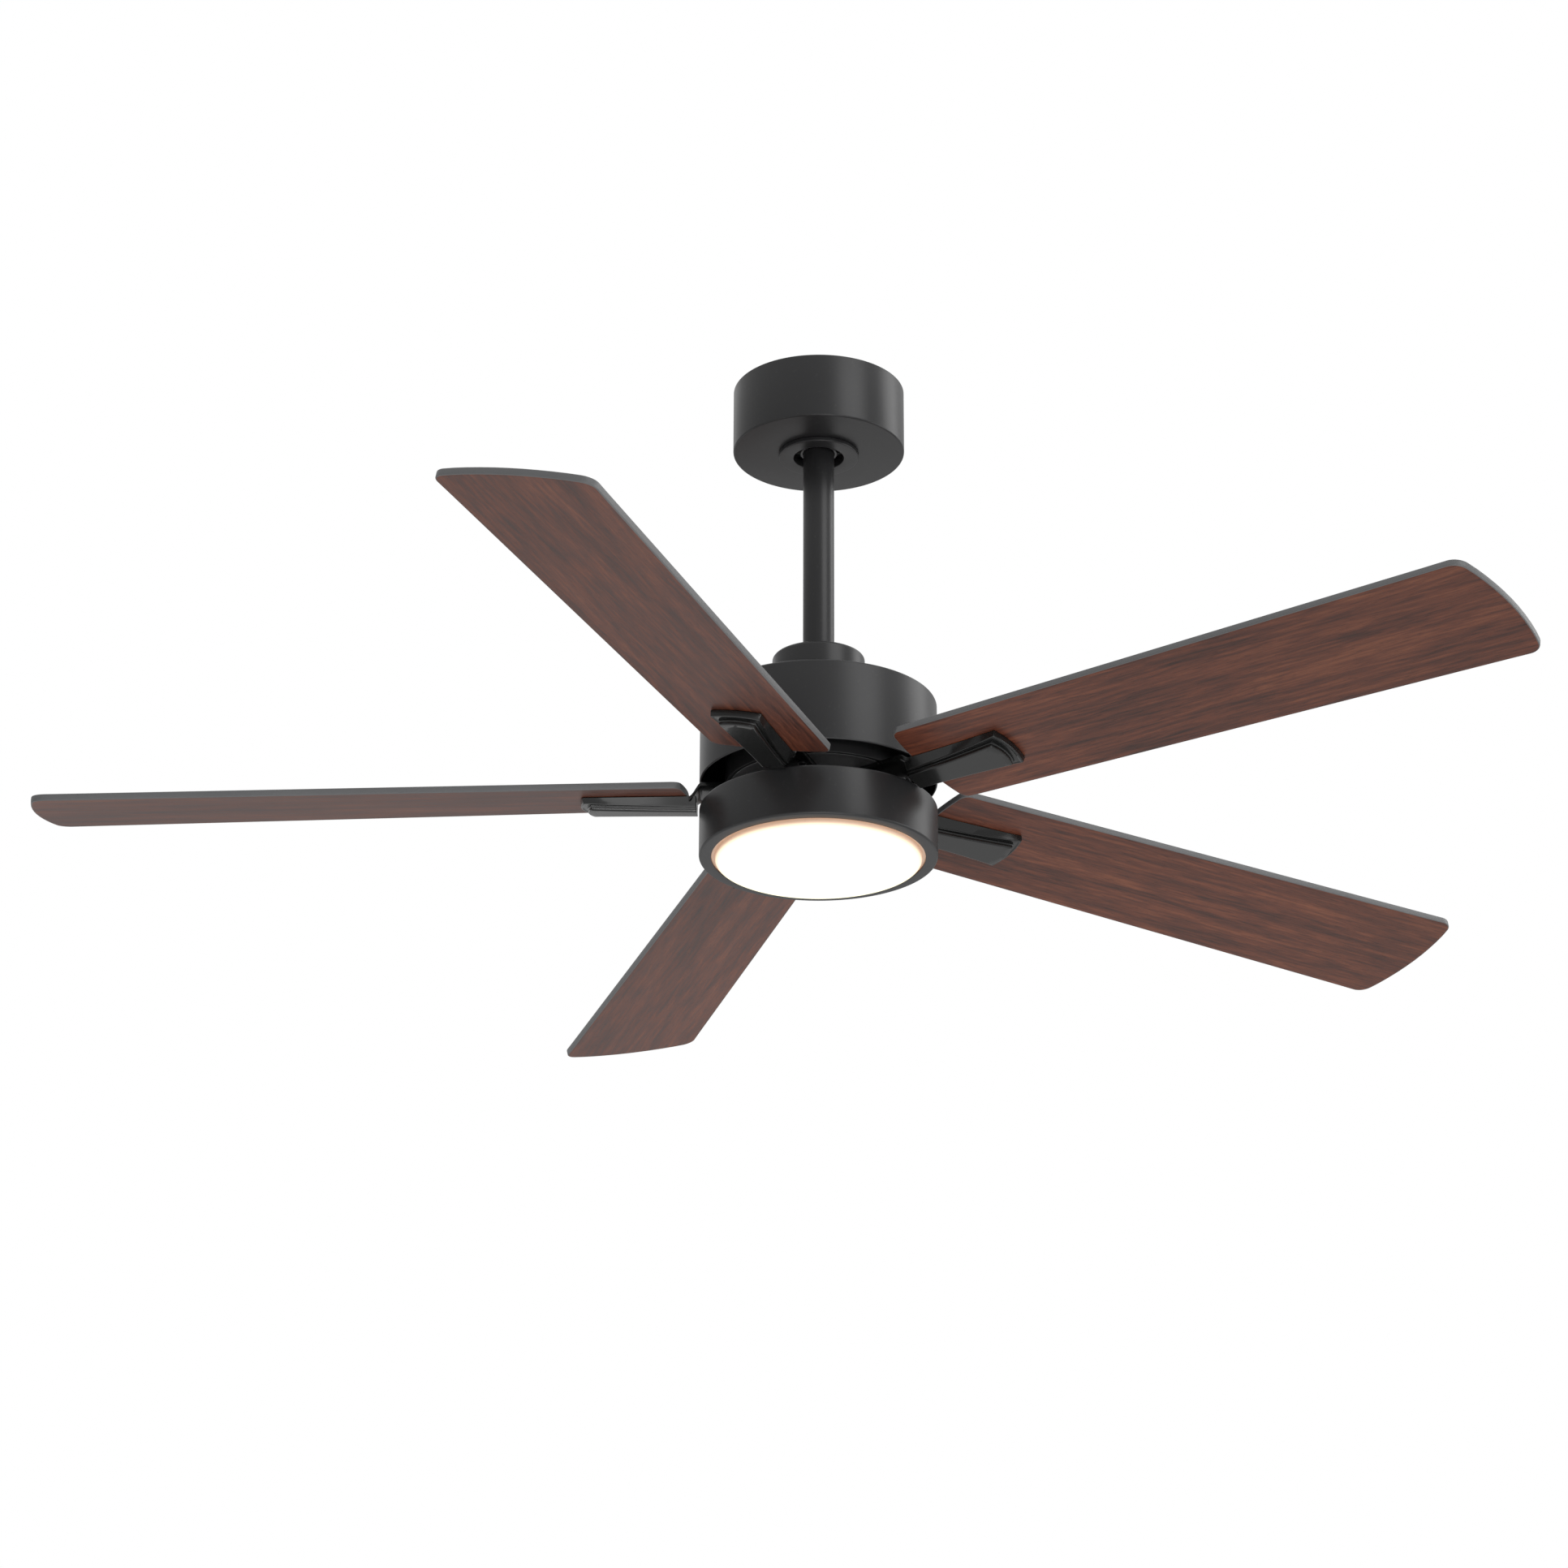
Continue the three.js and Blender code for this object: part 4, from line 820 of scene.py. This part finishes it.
def coil(half_height):
    """One winding round a pole that lies along X: a rounded rectangle round the pole's section,
    carried outwards, whose offset swells over each turn of wire by |sin| of the way out."""
    out = np.linspace(COIL_START, STACK_RADIUS - POLE_TIP_DEPTH - COIL_GAP, 85)
    turns = (out - COIL_START) / COIL_WIRE
    build = 0.0016 + 0.0004 * np.abs(np.sin(math.pi * turns))
    ends = [box_outline(POLE_HALF + COIL_GAP, half_height + 0.0005, 0.0012)(-offset) for offset in build]
    inner = box_outline(POLE_HALF + COIL_GAP, half_height + 0.0005, 0.0012)(0)
    loops = [inner, *ends, inner]
    places = [out[0], *out, out[-1]]
    grid = np.stack([np.column_stack([np.full(len(loop), place), loop])
                     for loop, place in zip(loops, places)], 1)
    return quads(grid, True, True)


copper = finished("winding_copper", plated_metal,
                  {"Tone": (0.5, 0.17, 0.06), "Gloss": 0.18, "Scratch": 1500.0},
                  0.1, Metallic=0.9, Coat_Weight=0.5, Coat_Roughness=0.1)
one_coil = coil((high.z - low.z) / 2)
coils = [moved(one_coil, Matrix.Translation((0, 0, (low.z + high.z) / 2))
               @ Matrix.Rotation(i * 2 * math.pi / POLE_COUNT, 4, "Z")) for i in range(POLE_COUNT)]
winding = skinned("stator_coils", *coils, outward=True)
winding.data.materials.append(copper)
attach(winding, "fan")
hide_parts("stator_winding")

# ---------------------------------------------------------------------------
# Rotor. The turning bell of the motor, a painted steel cup that carries the blade arms on its
# lower face, with a cast end cap, a ring of ferrite magnets and two shielded ball bearings.

ROTOR_WALL = 0.003

low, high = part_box("rotor_shell")
rotor_radius, rotor_floor = high.y, low.z
top, wall, seat, boss = high.z, ROTOR_WALL, 0.0135, 0.0178
rotor = skinned("rotor_bell", revolved(rounded([
    (rotor_radius, low.z, 0.0008), (rotor_radius, top, 0.003), (seat, top, 0), (seat, top - wall, 0),
    (boss, top - wall, 0), (boss, top - wall - 0.01, 0.0003), (boss + wall, top - wall - 0.01, 0.0003),
    (boss + wall, top - wall, 0.001), (rotor_radius - wall, top - wall, 0.001),
    (rotor_radius - wall, low.z, 0.0004)]), 192))
rotor.data.materials.append(black_enamel)
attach(rotor, "rotor")
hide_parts("rotor_shell")

low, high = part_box("rotor_end_cap")
cap_top = low.z + 0.004
end_cap = skinned("end_cap_casting", revolved(rounded([
    (seat, low.z, 0.0004), (high.y, low.z, 0.0006), (high.y, cap_top, 0.0004), (boss + wall, cap_top, 0.001),
    (boss + wall, high.z, 0.0004), (boss, high.z, 0.0002), (boss, cap_top, 0), (seat, cap_top, 0)]), 144))
end_cap.data.materials.append(cast_alloy)
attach(end_cap, "rotor")
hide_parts("rotor_end_cap")

low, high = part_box("magnet_ring")
ferrite = finished("ferrite", coat_skin, {"Tone": (0.055, 0.055, 0.06), "Gloss": 0.6, "Peel": 1500.0}, 0.4)
magnets = skinned("ferrite_ring", revolved(rounded([
    (high.y - 0.004, low.z, 0.0005), (high.y, low.z, 0.0005), (high.y, high.z, 0.0005),
    (high.y - 0.004, high.z, 0.0005)], 3), 144))
magnets.data.materials.append(ferrite)
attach(magnets, "rotor")
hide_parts("magnet_ring")

BEARING_RADIUS, BEARING_RACE, BEARING_SHIELD = 0.0175, 0.0026, 0.0006
for name in ("upper_bearing", "lower_bearing"):
    low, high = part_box(name)
    inside, outside, race, sunk = SHAFT_HOLE, BEARING_RADIUS, BEARING_RACE, BEARING_SHIELD
    bearing = skinned(f"{name}_races", revolved(rounded([
        (inside, low.z, 0.0005), (inside + race, low.z, 0.0001), (inside + race, low.z + sunk, 0),
        (outside - race, low.z + sunk, 0), (outside - race, low.z, 0.0001), (outside, low.z, 0.0005),
        (outside, high.z, 0.0005), (outside - race, high.z, 0.0001), (outside - race, high.z - sunk, 0),
        (inside + race, high.z - sunk, 0), (inside + race, high.z, 0.0001), (inside, high.z, 0.0005)], 3),
        72))
    bearing.data.materials.append(zinc_steel)
    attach(bearing, "rotor")
    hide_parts(name)

# ---------------------------------------------------------------------------
# Blade arms. Each is a zinc casting, painted gloss black: a thin neck screwed up into the rotor
# drops past the housing's rim to a thick block under the blade, with leaning walls, a bead along
# their lower edge, and a raised panel that narrows towards the hub.

BLADE_COUNT, BLADE_START = 5, math.radians(178.2)
BLADE_PITCH, BLADE_DROOP = math.radians(-12.2), math.radians(0.8)
ARM_INNER, BLOCK_INNER, ARM_OUTER, END_BULGE = 0.0515, 0.102, 0.2, 0.0035
BEND_START, BEND_END = 0.097, 0.108
HUB_HALF, OUTER_HALF = 0.017, 0.0225
NECK_THICKNESS = 0.0045
BLADE_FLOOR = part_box("motor_housing")[0].z - 0.0104
# The block's rings from the panel up to the blade: half width at the hub and outside, how far the
# outer end stands in, and depth below the blade at the hub and outside.
BLOCK_RINGS = (
    (0.0060, 0.0110, 0.0120, 0.0130, 0.0100), (0.0090, 0.0153, 0.0077, 0.0130, 0.0100),
    (0.0096, 0.0159, 0.0071, 0.0128, 0.0098), (0.0099, 0.0163, 0.0067, 0.0124, 0.0094),
    (0.0101, 0.0165, 0.0065, 0.0117, 0.0087), (0.0101, 0.0165, 0.0065, 0.0104, 0.0074),
    (0.0104, 0.0168, 0.0062, 0.0098, 0.0068), (0.0107, 0.0172, 0.0058, 0.0096, 0.0066),
    (0.0108, 0.0173, 0.0057, 0.0080, 0.0050), (0.0112, 0.0203, 0.0027, 0.0078, 0.0048),
    (0.0114, 0.0209, 0.0021, 0.0081, 0.0051), (0.0117, 0.0214, 0.0016, 0.0084, 0.0054),
    (0.0121, 0.0219, 0.0010, 0.0083, 0.0053), (0.0123, 0.0222, 0.0005, 0.0079, 0.0049),
    (0.0125, 0.0223, 0.0003, 0.0073, 0.0044), (0.0181, 0.0225, 0.0000, 0.0005, 0.0005),
    (0.0178, 0.0222, 0.0003, 0.0000, 0.0000))


def blade_place(index):
    """The blade's own frame: pitched, drooped, lowered to its floor, and turned to its place."""
    return (Matrix.Rotation(BLADE_START + index * 2 * math.pi / BLADE_COUNT, 4, "Z")
            @ Matrix.Translation((0, 0, BLADE_FLOOR)) @ Matrix.Rotation(BLADE_DROOP, 4, "Y")
            @ Matrix.Rotation(BLADE_PITCH, 4, "X"))


def block_ring(hub_half, outer_half, end_inset, hub_depth, outer_depth):
    """One ring of the block: half width and depth run from the hub's to the outer end's as t to
    the 1.6 and as t, with t the way out; the outer end bulges by END_BULGE (1 - (v / half)^2)."""
    tip = ARM_OUTER - END_BULGE - end_inset
    sides = np.linspace(BLOCK_INNER + 0.004, tip - 0.005, 12)

    def half(u):
        along = (u - BLOCK_INNER) / (ARM_OUTER - BLOCK_INNER)
        return hub_half + (outer_half - hub_half) * along ** 1.6

    corner = half(tip)
    across = corner * np.array([-0.7, -0.35, 0.0, 0.35, 0.7])
    end = tip + END_BULGE * (1 - (across / corner) ** 2)
    hub, turn = (BLOCK_INNER, float(hub_half)), 0.0007
    ring = rounded([(hub[0], -hub[1], turn), *((u, -half(u), 0) for u in sides), (tip, -corner, turn),
                    *((u, v, 0) for u, v in zip(end, across)), (tip, corner, turn),
                    *((u, half(u), 0) for u in sides[::-1]), (hub[0], hub[1], turn)], 4)
    out = (ring[:, 0] - BLOCK_INNER) / (ARM_OUTER - BLOCK_INNER)
    return np.column_stack([ring, -(hub_depth + (outer_depth - hub_depth) * out)])


def neck():
    """A rounded bar of upright sections: level under the rotor, then falling and twisting by an
    S-curve of u into the blade's plane, and sinking into the block."""
    u = np.concatenate([np.linspace(ARM_INNER, BEND_START, 10), np.linspace(BEND_START, BEND_END, 12)[1:]])
    t = np.clip((u - BEND_START) / (BEND_END - BEND_START), 0, 1)
    turn = t * t * (3 - 2 * t)
    out = (u - ARM_INNER) / (ARM_OUTER - ARM_INNER)
    half = HUB_HALF + (OUTER_HALF - HUB_HALF) * out * out * (3 - 2 * out) - 0.0004 * turn
    rim = np.array([(-1, -0.8), (-0.97, -0.95), (-0.93, -1), (-0.4, -1), (0.4, -1), (0.93, -1), (0.97, -0.95),
                    (1, -0.8), (1, -0.2), (0.97, -0.05), (0.93, 0), (-0.93, 0), (-0.97, -0.05), (-1, -0.2)])
    v = half[:, None] * rim[None, :, 0]
    h = NECK_THICKNESS * rim[None, :, 1] + 0 * v
    pitch = (BLADE_PITCH * turn)[:, None]
    fall = BLADE_FLOOR - SEATING_GAP - u * math.tan(BLADE_DROOP)
    top = (rotor_floor - SEATING_GAP) * (1 - turn) + fall * turn
    grid = np.stack([u[:, None] + 0 * v, v * np.cos(pitch) - h * np.sin(pitch),
                     top[:, None] + v * np.sin(pitch) + h * np.cos(pitch)], -1)
    caps = np.repeat(grid[[0, -1]].mean(1)[:, None], grid.shape[1], 1)
    return quads(np.concatenate([caps[:1], grid, caps[1:]]), False, True)


arm_enamel = finished("arm_enamel", coat_skin,
                      {"Tone": (0.0055, 0.0058, 0.0056), "Gloss": 0.13, "Peel": 700.0},
                      0.01, Coat_Weight=0.2, Coat_Roughness=0.08)
screw_black = finished("screw_black", coat_skin,
                       {"Tone": (0.015, 0.015, 0.016), "Gloss": 0.28, "Peel": 2600.0},
                       0.1, Metallic=0.6)
block = slab([block_ring(*step) for step in BLOCK_RINGS], (BLOCK_INNER + 0.012, ARM_OUTER - 0.026))
arm_neck = neck()
HUB_SCREWS = [(0.0665, -0.0095), (0.0665, 0.0095)]
under_neck = rotor_floor - SEATING_GAP - NECK_THICKNESS
for i in range(BLADE_COUNT):
    about = Matrix.Rotation(BLADE_START + i * 2 * math.pi / BLADE_COUNT, 4, "Z")
    lowered = blade_place(i) @ Matrix.Translation((0, 0, -SEATING_GAP))
    arm = skinned(f"blade_arm_{i + 1}_casting", moved(block, lowered), moved(arm_neck, about), crease=18)
    arm.data.materials.append(arm_enamel)
    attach(arm, "rotor")
    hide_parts(f"blade_arm_{i + 1}")
    hub_screws = [moved(screw(0.0036, 0.0022, 0.002, 0.008), about @ Matrix.Translation((u, v, under_neck))
                        @ Matrix.Rotation(math.pi, 4, "X")) for u, v in HUB_SCREWS]
    fixings = skinned(f"arm_screws_{i + 1}", *hub_screws)
    fixings.data.materials.append(screw_black)
    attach(fixings, "rotor")

# ---------------------------------------------------------------------------
# Blades. Plywood under a walnut film on both faces, with a dark grey edge coat whose colour is
# lightened as a painted reflection; each has straight sides, rounded root corners and a shallow
# curved tip, and three screws hold it on its arm.

BLADE_ROOT, BLADE_TIP = 0.109, 0.66
BLADE_THICKNESS, BLADE_EDGE = 0.0056, 0.0009
ROOT_HALF, TIP_HALF, ROOT_BULGE, TIP_BULGE = 0.0533, 0.0645, 0.005, 0.009
ROOT_FILLET, TIP_FILLET = 0.009, 0.013


def blade_outline(inset):
    """The blade's outline moved in by inset; both ends bulge as arcs, B (1 - (v / half)^2)."""
    root, tip = BLADE_ROOT + ROOT_BULGE + inset, BLADE_TIP - TIP_BULGE - inset
    share = np.linspace(-0.7, 0.7, 9)
    reach = 1 - share**2
    along = np.linspace(root + 0.03, tip - 0.03, 12)
    half = ROOT_HALF + (TIP_HALF - ROOT_HALF) * (along - BLADE_ROOT) / (BLADE_TIP - BLADE_ROOT) - inset
    return rounded([(root, -ROOT_HALF + inset, ROOT_FILLET - inset),
                    *((u, -w, 0) for u, w in zip(along, half)),
                    (tip, -TIP_HALF + inset, TIP_FILLET - inset),
                    *((tip + TIP_BULGE * b, TIP_HALF * v, 0) for b, v in zip(reach, share)),
                    (tip, TIP_HALF - inset, TIP_FILLET - inset),
                    *((u, w, 0) for u, w in zip(along[::-1], half[::-1])),
                    (root, ROOT_HALF - inset, ROOT_FILLET - inset),
                    *((root - ROOT_BULGE * b, ROOT_HALF * v, 0) for b, v in zip(reach, share[::-1]))], 8)


def blade_section():
    """The square edge, rounded top and bottom, between the two flat faces."""
    edge, top = BLADE_EDGE, BLADE_THICKNESS
    return [(0.004, 0.0), *arc_steps((edge, edge), edge, -90, -180),
            *arc_steps((edge, top - edge), edge, 180, 90),
            (0.004, top)]


def walnut_effect():
    """Straight grain along U: long streaks, finer lines across V, short dark pores, and slow drift
    of colour; the seed moves the pattern so that no two blades match."""
    group, given, gives = effect("walnut_grain", {"Seed": 0.0, "Gloss": 0.34})
    shift = node(group, "ShaderNodeCombineXYZ")
    group.links.new(given.outputs["Seed"], shift.inputs["Z"])
    placed = node(group, "ShaderNodeVectorMath", operation="ADD")
    group.links.new(given.outputs["Vector"], placed.inputs[0])
    group.links.new(shift.outputs["Vector"], placed.inputs[1])

    def streaks(along, across, detail, distortion):
        stretch = node(group, "ShaderNodeMapping")
        stretch.inputs["Scale"].default_value = (along, across, 1.0)
        noise = node(group, "ShaderNodeTexNoise", Scale=1.0, Detail=detail, Distortion=distortion)
        group.links.new(placed.outputs["Vector"], stretch.inputs["Vector"])
        group.links.new(stretch.outputs["Vector"], noise.inputs["Vector"])
        return noise.outputs["Fac"]

    broad, lines, pores, drift = (streaks(5.0, 62.0, 3.0, 0.3), streaks(26.0, 330.0, 4.0, 0.35),
                                  streaks(110.0, 1500.0, 2.0, 0.0), streaks(3.0, 7.0, 2.0, 0.4))
    mixed = math_node(group, "MULTIPLY_ADD", broad, 0.45)
    group.links.new(math_node(group, "MULTIPLY", lines, 0.55), mixed.node.inputs[2])
    wood = ramp(group, [(0.32, (0.034, 0.0135, 0.0095)), (0.44, (0.078, 0.024, 0.0145)),
                        (0.55, (0.125, 0.037, 0.0195)), (0.7, (0.2, 0.066, 0.032))], mixed)
    drifted = shaded(group, wood.outputs["Color"], drift, 0.75, 1.25)
    pitted = ramp(group, [(0.3, 0.55), (0.42, 1.0)], pores)
    grained = node(group, "ShaderNodeMix", data_type="RGBA", blend_type="MULTIPLY")
    grained.inputs[0].default_value = 1.0
    group.links.new(drifted, grained.inputs[6])
    group.links.new(pitted.outputs["Color"], grained.inputs[7])
    group.links.new(grained.outputs[2], gives.inputs["Color"])
    gloss = math_node(group, "MULTIPLY_ADD", lines, 0.14)
    group.links.new(given.outputs["Gloss"], gloss.node.inputs[2])
    group.links.new(gloss, gives.inputs["Roughness"])
    group.links.new(math_node(group, "ADD", math_node(group, "MULTIPLY", lines, 0.6), pores),
                    gives.inputs["Height"])
    return group


walnut_grain = walnut_effect()
# The edge's grey is partly its own dark coat and partly painted reflection of the surround.
edge_coat_and_reflection = finished("blade_edge_coat_and_reflection", coat_skin,
                      {"Tone": (0.12, 0.121, 0.123), "Gloss": 0.36, "Peel": 900.0}, 0.1)
section = blade_section()
blade_shape = slab(levels(blade_outline, section), (BLADE_ROOT + 0.05, BLADE_TIP - 0.06))
columns = len(section) + 2
strip = np.arange(len(blade_shape[1])) % (columns - 1)
edge_faces = ((strip >= 2) & (strip <= columns - 4)).astype(np.int32)
SCREW_PLACES = [(0.138, 0.0), (0.178, -0.013), (0.178, 0.013)]
blade_screw = screw(0.0046, 0.002, 0.0022, 0.0109)
for i in range(BLADE_COUNT):
    place = blade_place(i)
    walnut = finished(f"walnut_blade_{i + 1}", walnut_grain, {"Seed": 3.7 * i + 1.3, "Gloss": 0.3}, 0.15,
                      0.0002,
                      Specular_IOR_Level=0.28, Coat_Weight=0.08, Coat_Roughness=0.3)
    tree = walnut.node_tree
    tree.links.new(node(tree, "ShaderNodeUVMap", uv_map="grain").outputs["UV"],
                   next(n for n in tree.nodes if n.type == "GROUP").inputs["Vector"])
    blade = skinned(f"blade_{i + 1}_board", moved(blade_shape, place), uv=blade_shape[0][:, :2],
                    groups=edge_faces)
    blade.data.materials.append(walnut)
    blade.data.materials.append(edge_coat_and_reflection)
    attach(blade, "rotor")
    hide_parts(f"blade_{i + 1}")
    for j, (u, v) in enumerate(SCREW_PLACES):
        seat = place @ Matrix.Translation((u, v, BLADE_THICKNESS + SEATING_GAP))
        fixing = skinned(f"blade_screw_{i + 1}_{j + 1}_thread", moved(blade_screw, seat))
        fixing.data.materials.append(screw_black)
        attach(fixing, "rotor")
        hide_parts(f"blade_screw_{i + 1}_{j + 1}")

# ---------------------------------------------------------------------------
# Light adapter. A die-cast alloy disc screwed onto the hollow shaft's end above the light pan, with
# three small screws up through the pan into it.

ADAPTER_BOSS, ADAPTER_THICKNESS = 0.0133, 0.003

low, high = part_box("light_adapter")
disc_top = low.z + ADAPTER_THICKNESS
adapter = skinned("adapter_casting", revolved(rounded([
    (SHAFT_HOLE, low.z, 0), (high.y, low.z, 0.0005), (high.y, disc_top, 0.0006),
    (ADAPTER_BOSS, disc_top, 0.0012),
    (ADAPTER_BOSS, high.z, 0.0006), (SHAFT_HOLE, high.z, 0.0003)]), 96))
adapter.data.materials.append(cast_alloy)
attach(adapter, "fan")
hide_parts("light_adapter")

# ---------------------------------------------------------------------------
# Light pan. A drawn steel dish, powder coated black, screwed to the adapter on the hollow shaft;
# its rim turns in below to a flat lip that the lens sits on.

PAN_WALL, PAN_FILLET, PAN_LIP = 0.0015, 0.002, 0.0104

low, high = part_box("light_pan")
radius, wall, lip = high.y, PAN_WALL, high.y - PAN_LIP
pan = skinned("light_dish", revolved(rounded([
    (lip, low.z, 0.0005), (radius, low.z, PAN_FILLET), (radius, high.z, PAN_FILLET), (0.0073, high.z, 0),
    (0.0073, high.z - wall, 0), (radius - wall, high.z - wall, 0.001), (radius - wall, low.z + wall, 0.001),
    (lip, low.z + wall, 0.0005)]), 216))
pan.data.materials.append(black_enamel)
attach(pan, "fan")
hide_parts("light_pan")

# ---------------------------------------------------------------------------
# Light source. The driver is a moulded plastic box under the pan's top; the round white board
# hangs on three posts, with rings of small LEDs under yellow phosphor on its lower face.

light_screw = screw(0.0036, 0.0022, 0.0018, 0.0051)
for i in range(3):
    low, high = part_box(f"light_screw_{i + 1}")
    middle = (low + high) / 2
    place = Matrix.Translation((middle.x, middle.y, low.z + 0.0022)) @ head_down
    small_screw = skinned(f"light_screw_{i + 1}_thread", moved(light_screw, place))
    small_screw.data.materials.append(zinc_steel)
    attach(small_screw, "fan")
    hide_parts(f"light_screw_{i + 1}")

low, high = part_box("led_driver")
middle, size = (low + high) / 2, high - low
driver_section = [(0.01, 0.0), *arc_steps((0.001, 0.001), 0.001, -90, -180), (0.0, size.z - 0.003 - SEAM),
                  (SEAM, size.z - 0.003), (0.0, size.z - 0.003 + SEAM),
                  *arc_steps((0.001, size.z - 0.001), 0.001, 180, 90), (0.01, size.z)]
driver_box = slab(levels(box_outline(size.x / 2, size.y / 2, 0.003), driver_section),
                  (-size.x / 2 + 0.018, size.x / 2 - 0.018))
driver = skinned("driver_case", moved(driver_box, Matrix.Translation((middle.x, middle.y, low.z))))
driver.data.materials.append(moulded_black)
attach(driver, "fan")
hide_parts("led_driver")

BOARD_THICKNESS, POST_RADIUS, POST_INSET = 0.0016, 0.004, 0.014
LED_RINGS = ((0.018, 8), (0.04, 18), (0.06, 27), (0.079, 36))
low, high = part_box("led_board")
board_radius, board_top = high.y, low.z + BOARD_THICKNESS
disc = revolved(rounded([(0, low.z, 0), (board_radius, low.z, 0.0003), (board_radius, board_top, 0.0003),
                         (0, board_top, 0)], 3), 144)
post = revolved(rounded([(0, board_top, 0), (POST_RADIUS, board_top, 0), (POST_RADIUS, high.z, 0.0004),
                         (0, high.z, 0)], 3), 32)
posts = [moved(post, Matrix.Translation(((board_radius - POST_INSET) * math.cos(a),
                                         (board_radius - POST_INSET) * math.sin(a), 0)))
         for a in np.radians((-90, 30, 150))]
chip = revolved(rounded([(0, low.z - 0.0009, 0), (0.0012, low.z - 0.0008, 0.0003), (0.0018, low.z, 0),
                         (0, low.z, 0)], 2), 12)
chips = [moved(chip, Matrix.Translation((r * math.cos(a), r * math.sin(a), 0)))
         for r, count in LED_RINGS for a in np.arange(count) * 2 * math.pi / count]
white_board = finished("white_board", coat_skin, {"Tone": (0.78, 0.78, 0.74), "Gloss": 0.45, "Peel": 1200.0},
                       0.1)
phosphor = finished("led_phosphor", coat_skin, {"Tone": (0.75, 0.55, 0.12), "Gloss": 0.3, "Peel": 3000.0},
                    0.1)
board_shells = [disc, *posts, *chips]
chip_faces = sum(len(shell[1]) for shell in chips)
board_faces = np.zeros(sum(len(shell[1]) for shell in board_shells), np.int32)
board_faces[-chip_faces:] = 1
board = skinned("led_disc", *board_shells, groups=board_faces)
board.data.materials.append(white_board)
board.data.materials.append(phosphor)
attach(board, "fan")
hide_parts("led_board")

# ---------------------------------------------------------------------------
# Lens. A shallow dish of frosted acrylic lit from behind by the board: an even white face, warmer
# and dimmer round its rolled edge, with a flange that rests on the pan's lip.

LENS_WALL, LENS_FILLET, LENS_FLANGE = 0.0025, 0.004, 0.007


def lens_light(tree, shader):
    """The glow over the lens, by distance from the axis and height up the side wall."""
    where, split = node(tree, "ShaderNodeTexCoord"), node(tree, "ShaderNodeSeparateXYZ")
    flat, length = node(tree, "ShaderNodeCombineXYZ"), node(tree, "ShaderNodeVectorMath", operation="LENGTH")
    tree.links.new(where.outputs["Object"], split.inputs["Vector"])
    for axis in "XY":
        tree.links.new(split.outputs[axis], flat.inputs[axis])
    tree.links.new(flat.outputs["Vector"], length.inputs[0])
    out = node(tree, "ShaderNodeMapRange")
    out.inputs["From Min"].default_value, out.inputs["From Max"].default_value = 0.07, 0.087
    tree.links.new(length.outputs["Value"], out.inputs["Value"])
    glow = ramp(tree, [(0.0, (1.06, 1.04, 0.7)), (0.78, (1.02, 0.98, 0.68)), (0.9, (0.84, 0.68, 0.46)),
                       (0.97, (0.42, 0.2, 0.11)), (1.0, (0.22, 0.09, 0.045))], out.outputs["Result"])
    tree.links.new(glow.outputs["Color"], shader.inputs["Emission Color"])


low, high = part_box("lens")
radius, wall = high.y - LENS_FLANGE, LENS_WALL
lens_dish = skinned("lens_dish", revolved(rounded([
    (0, low.z, 0), (radius, low.z, LENS_FILLET), (radius, high.z - 0.002, 0),
    (high.y, high.z - 0.002, 0.0004),
    (high.y, high.z, 0.0004), (radius - wall, high.z, 0), (radius - wall, low.z + wall, LENS_FILLET - wall),
    (0, low.z + wall, 0)], 8), 192))
frosted = finished("frosted_acrylic", coat_skin, {"Tone": (0.5, 0.46, 0.38), "Gloss": 0.4, "Peel": 1600.0},
                   0.05,
                   Emission_Strength=1.0)
lens_light(frosted.node_tree, frosted.node_tree.nodes["Principled BSDF"])
lens_dish.data.materials.append(frosted)
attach(lens_dish, "fan")
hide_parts("lens")
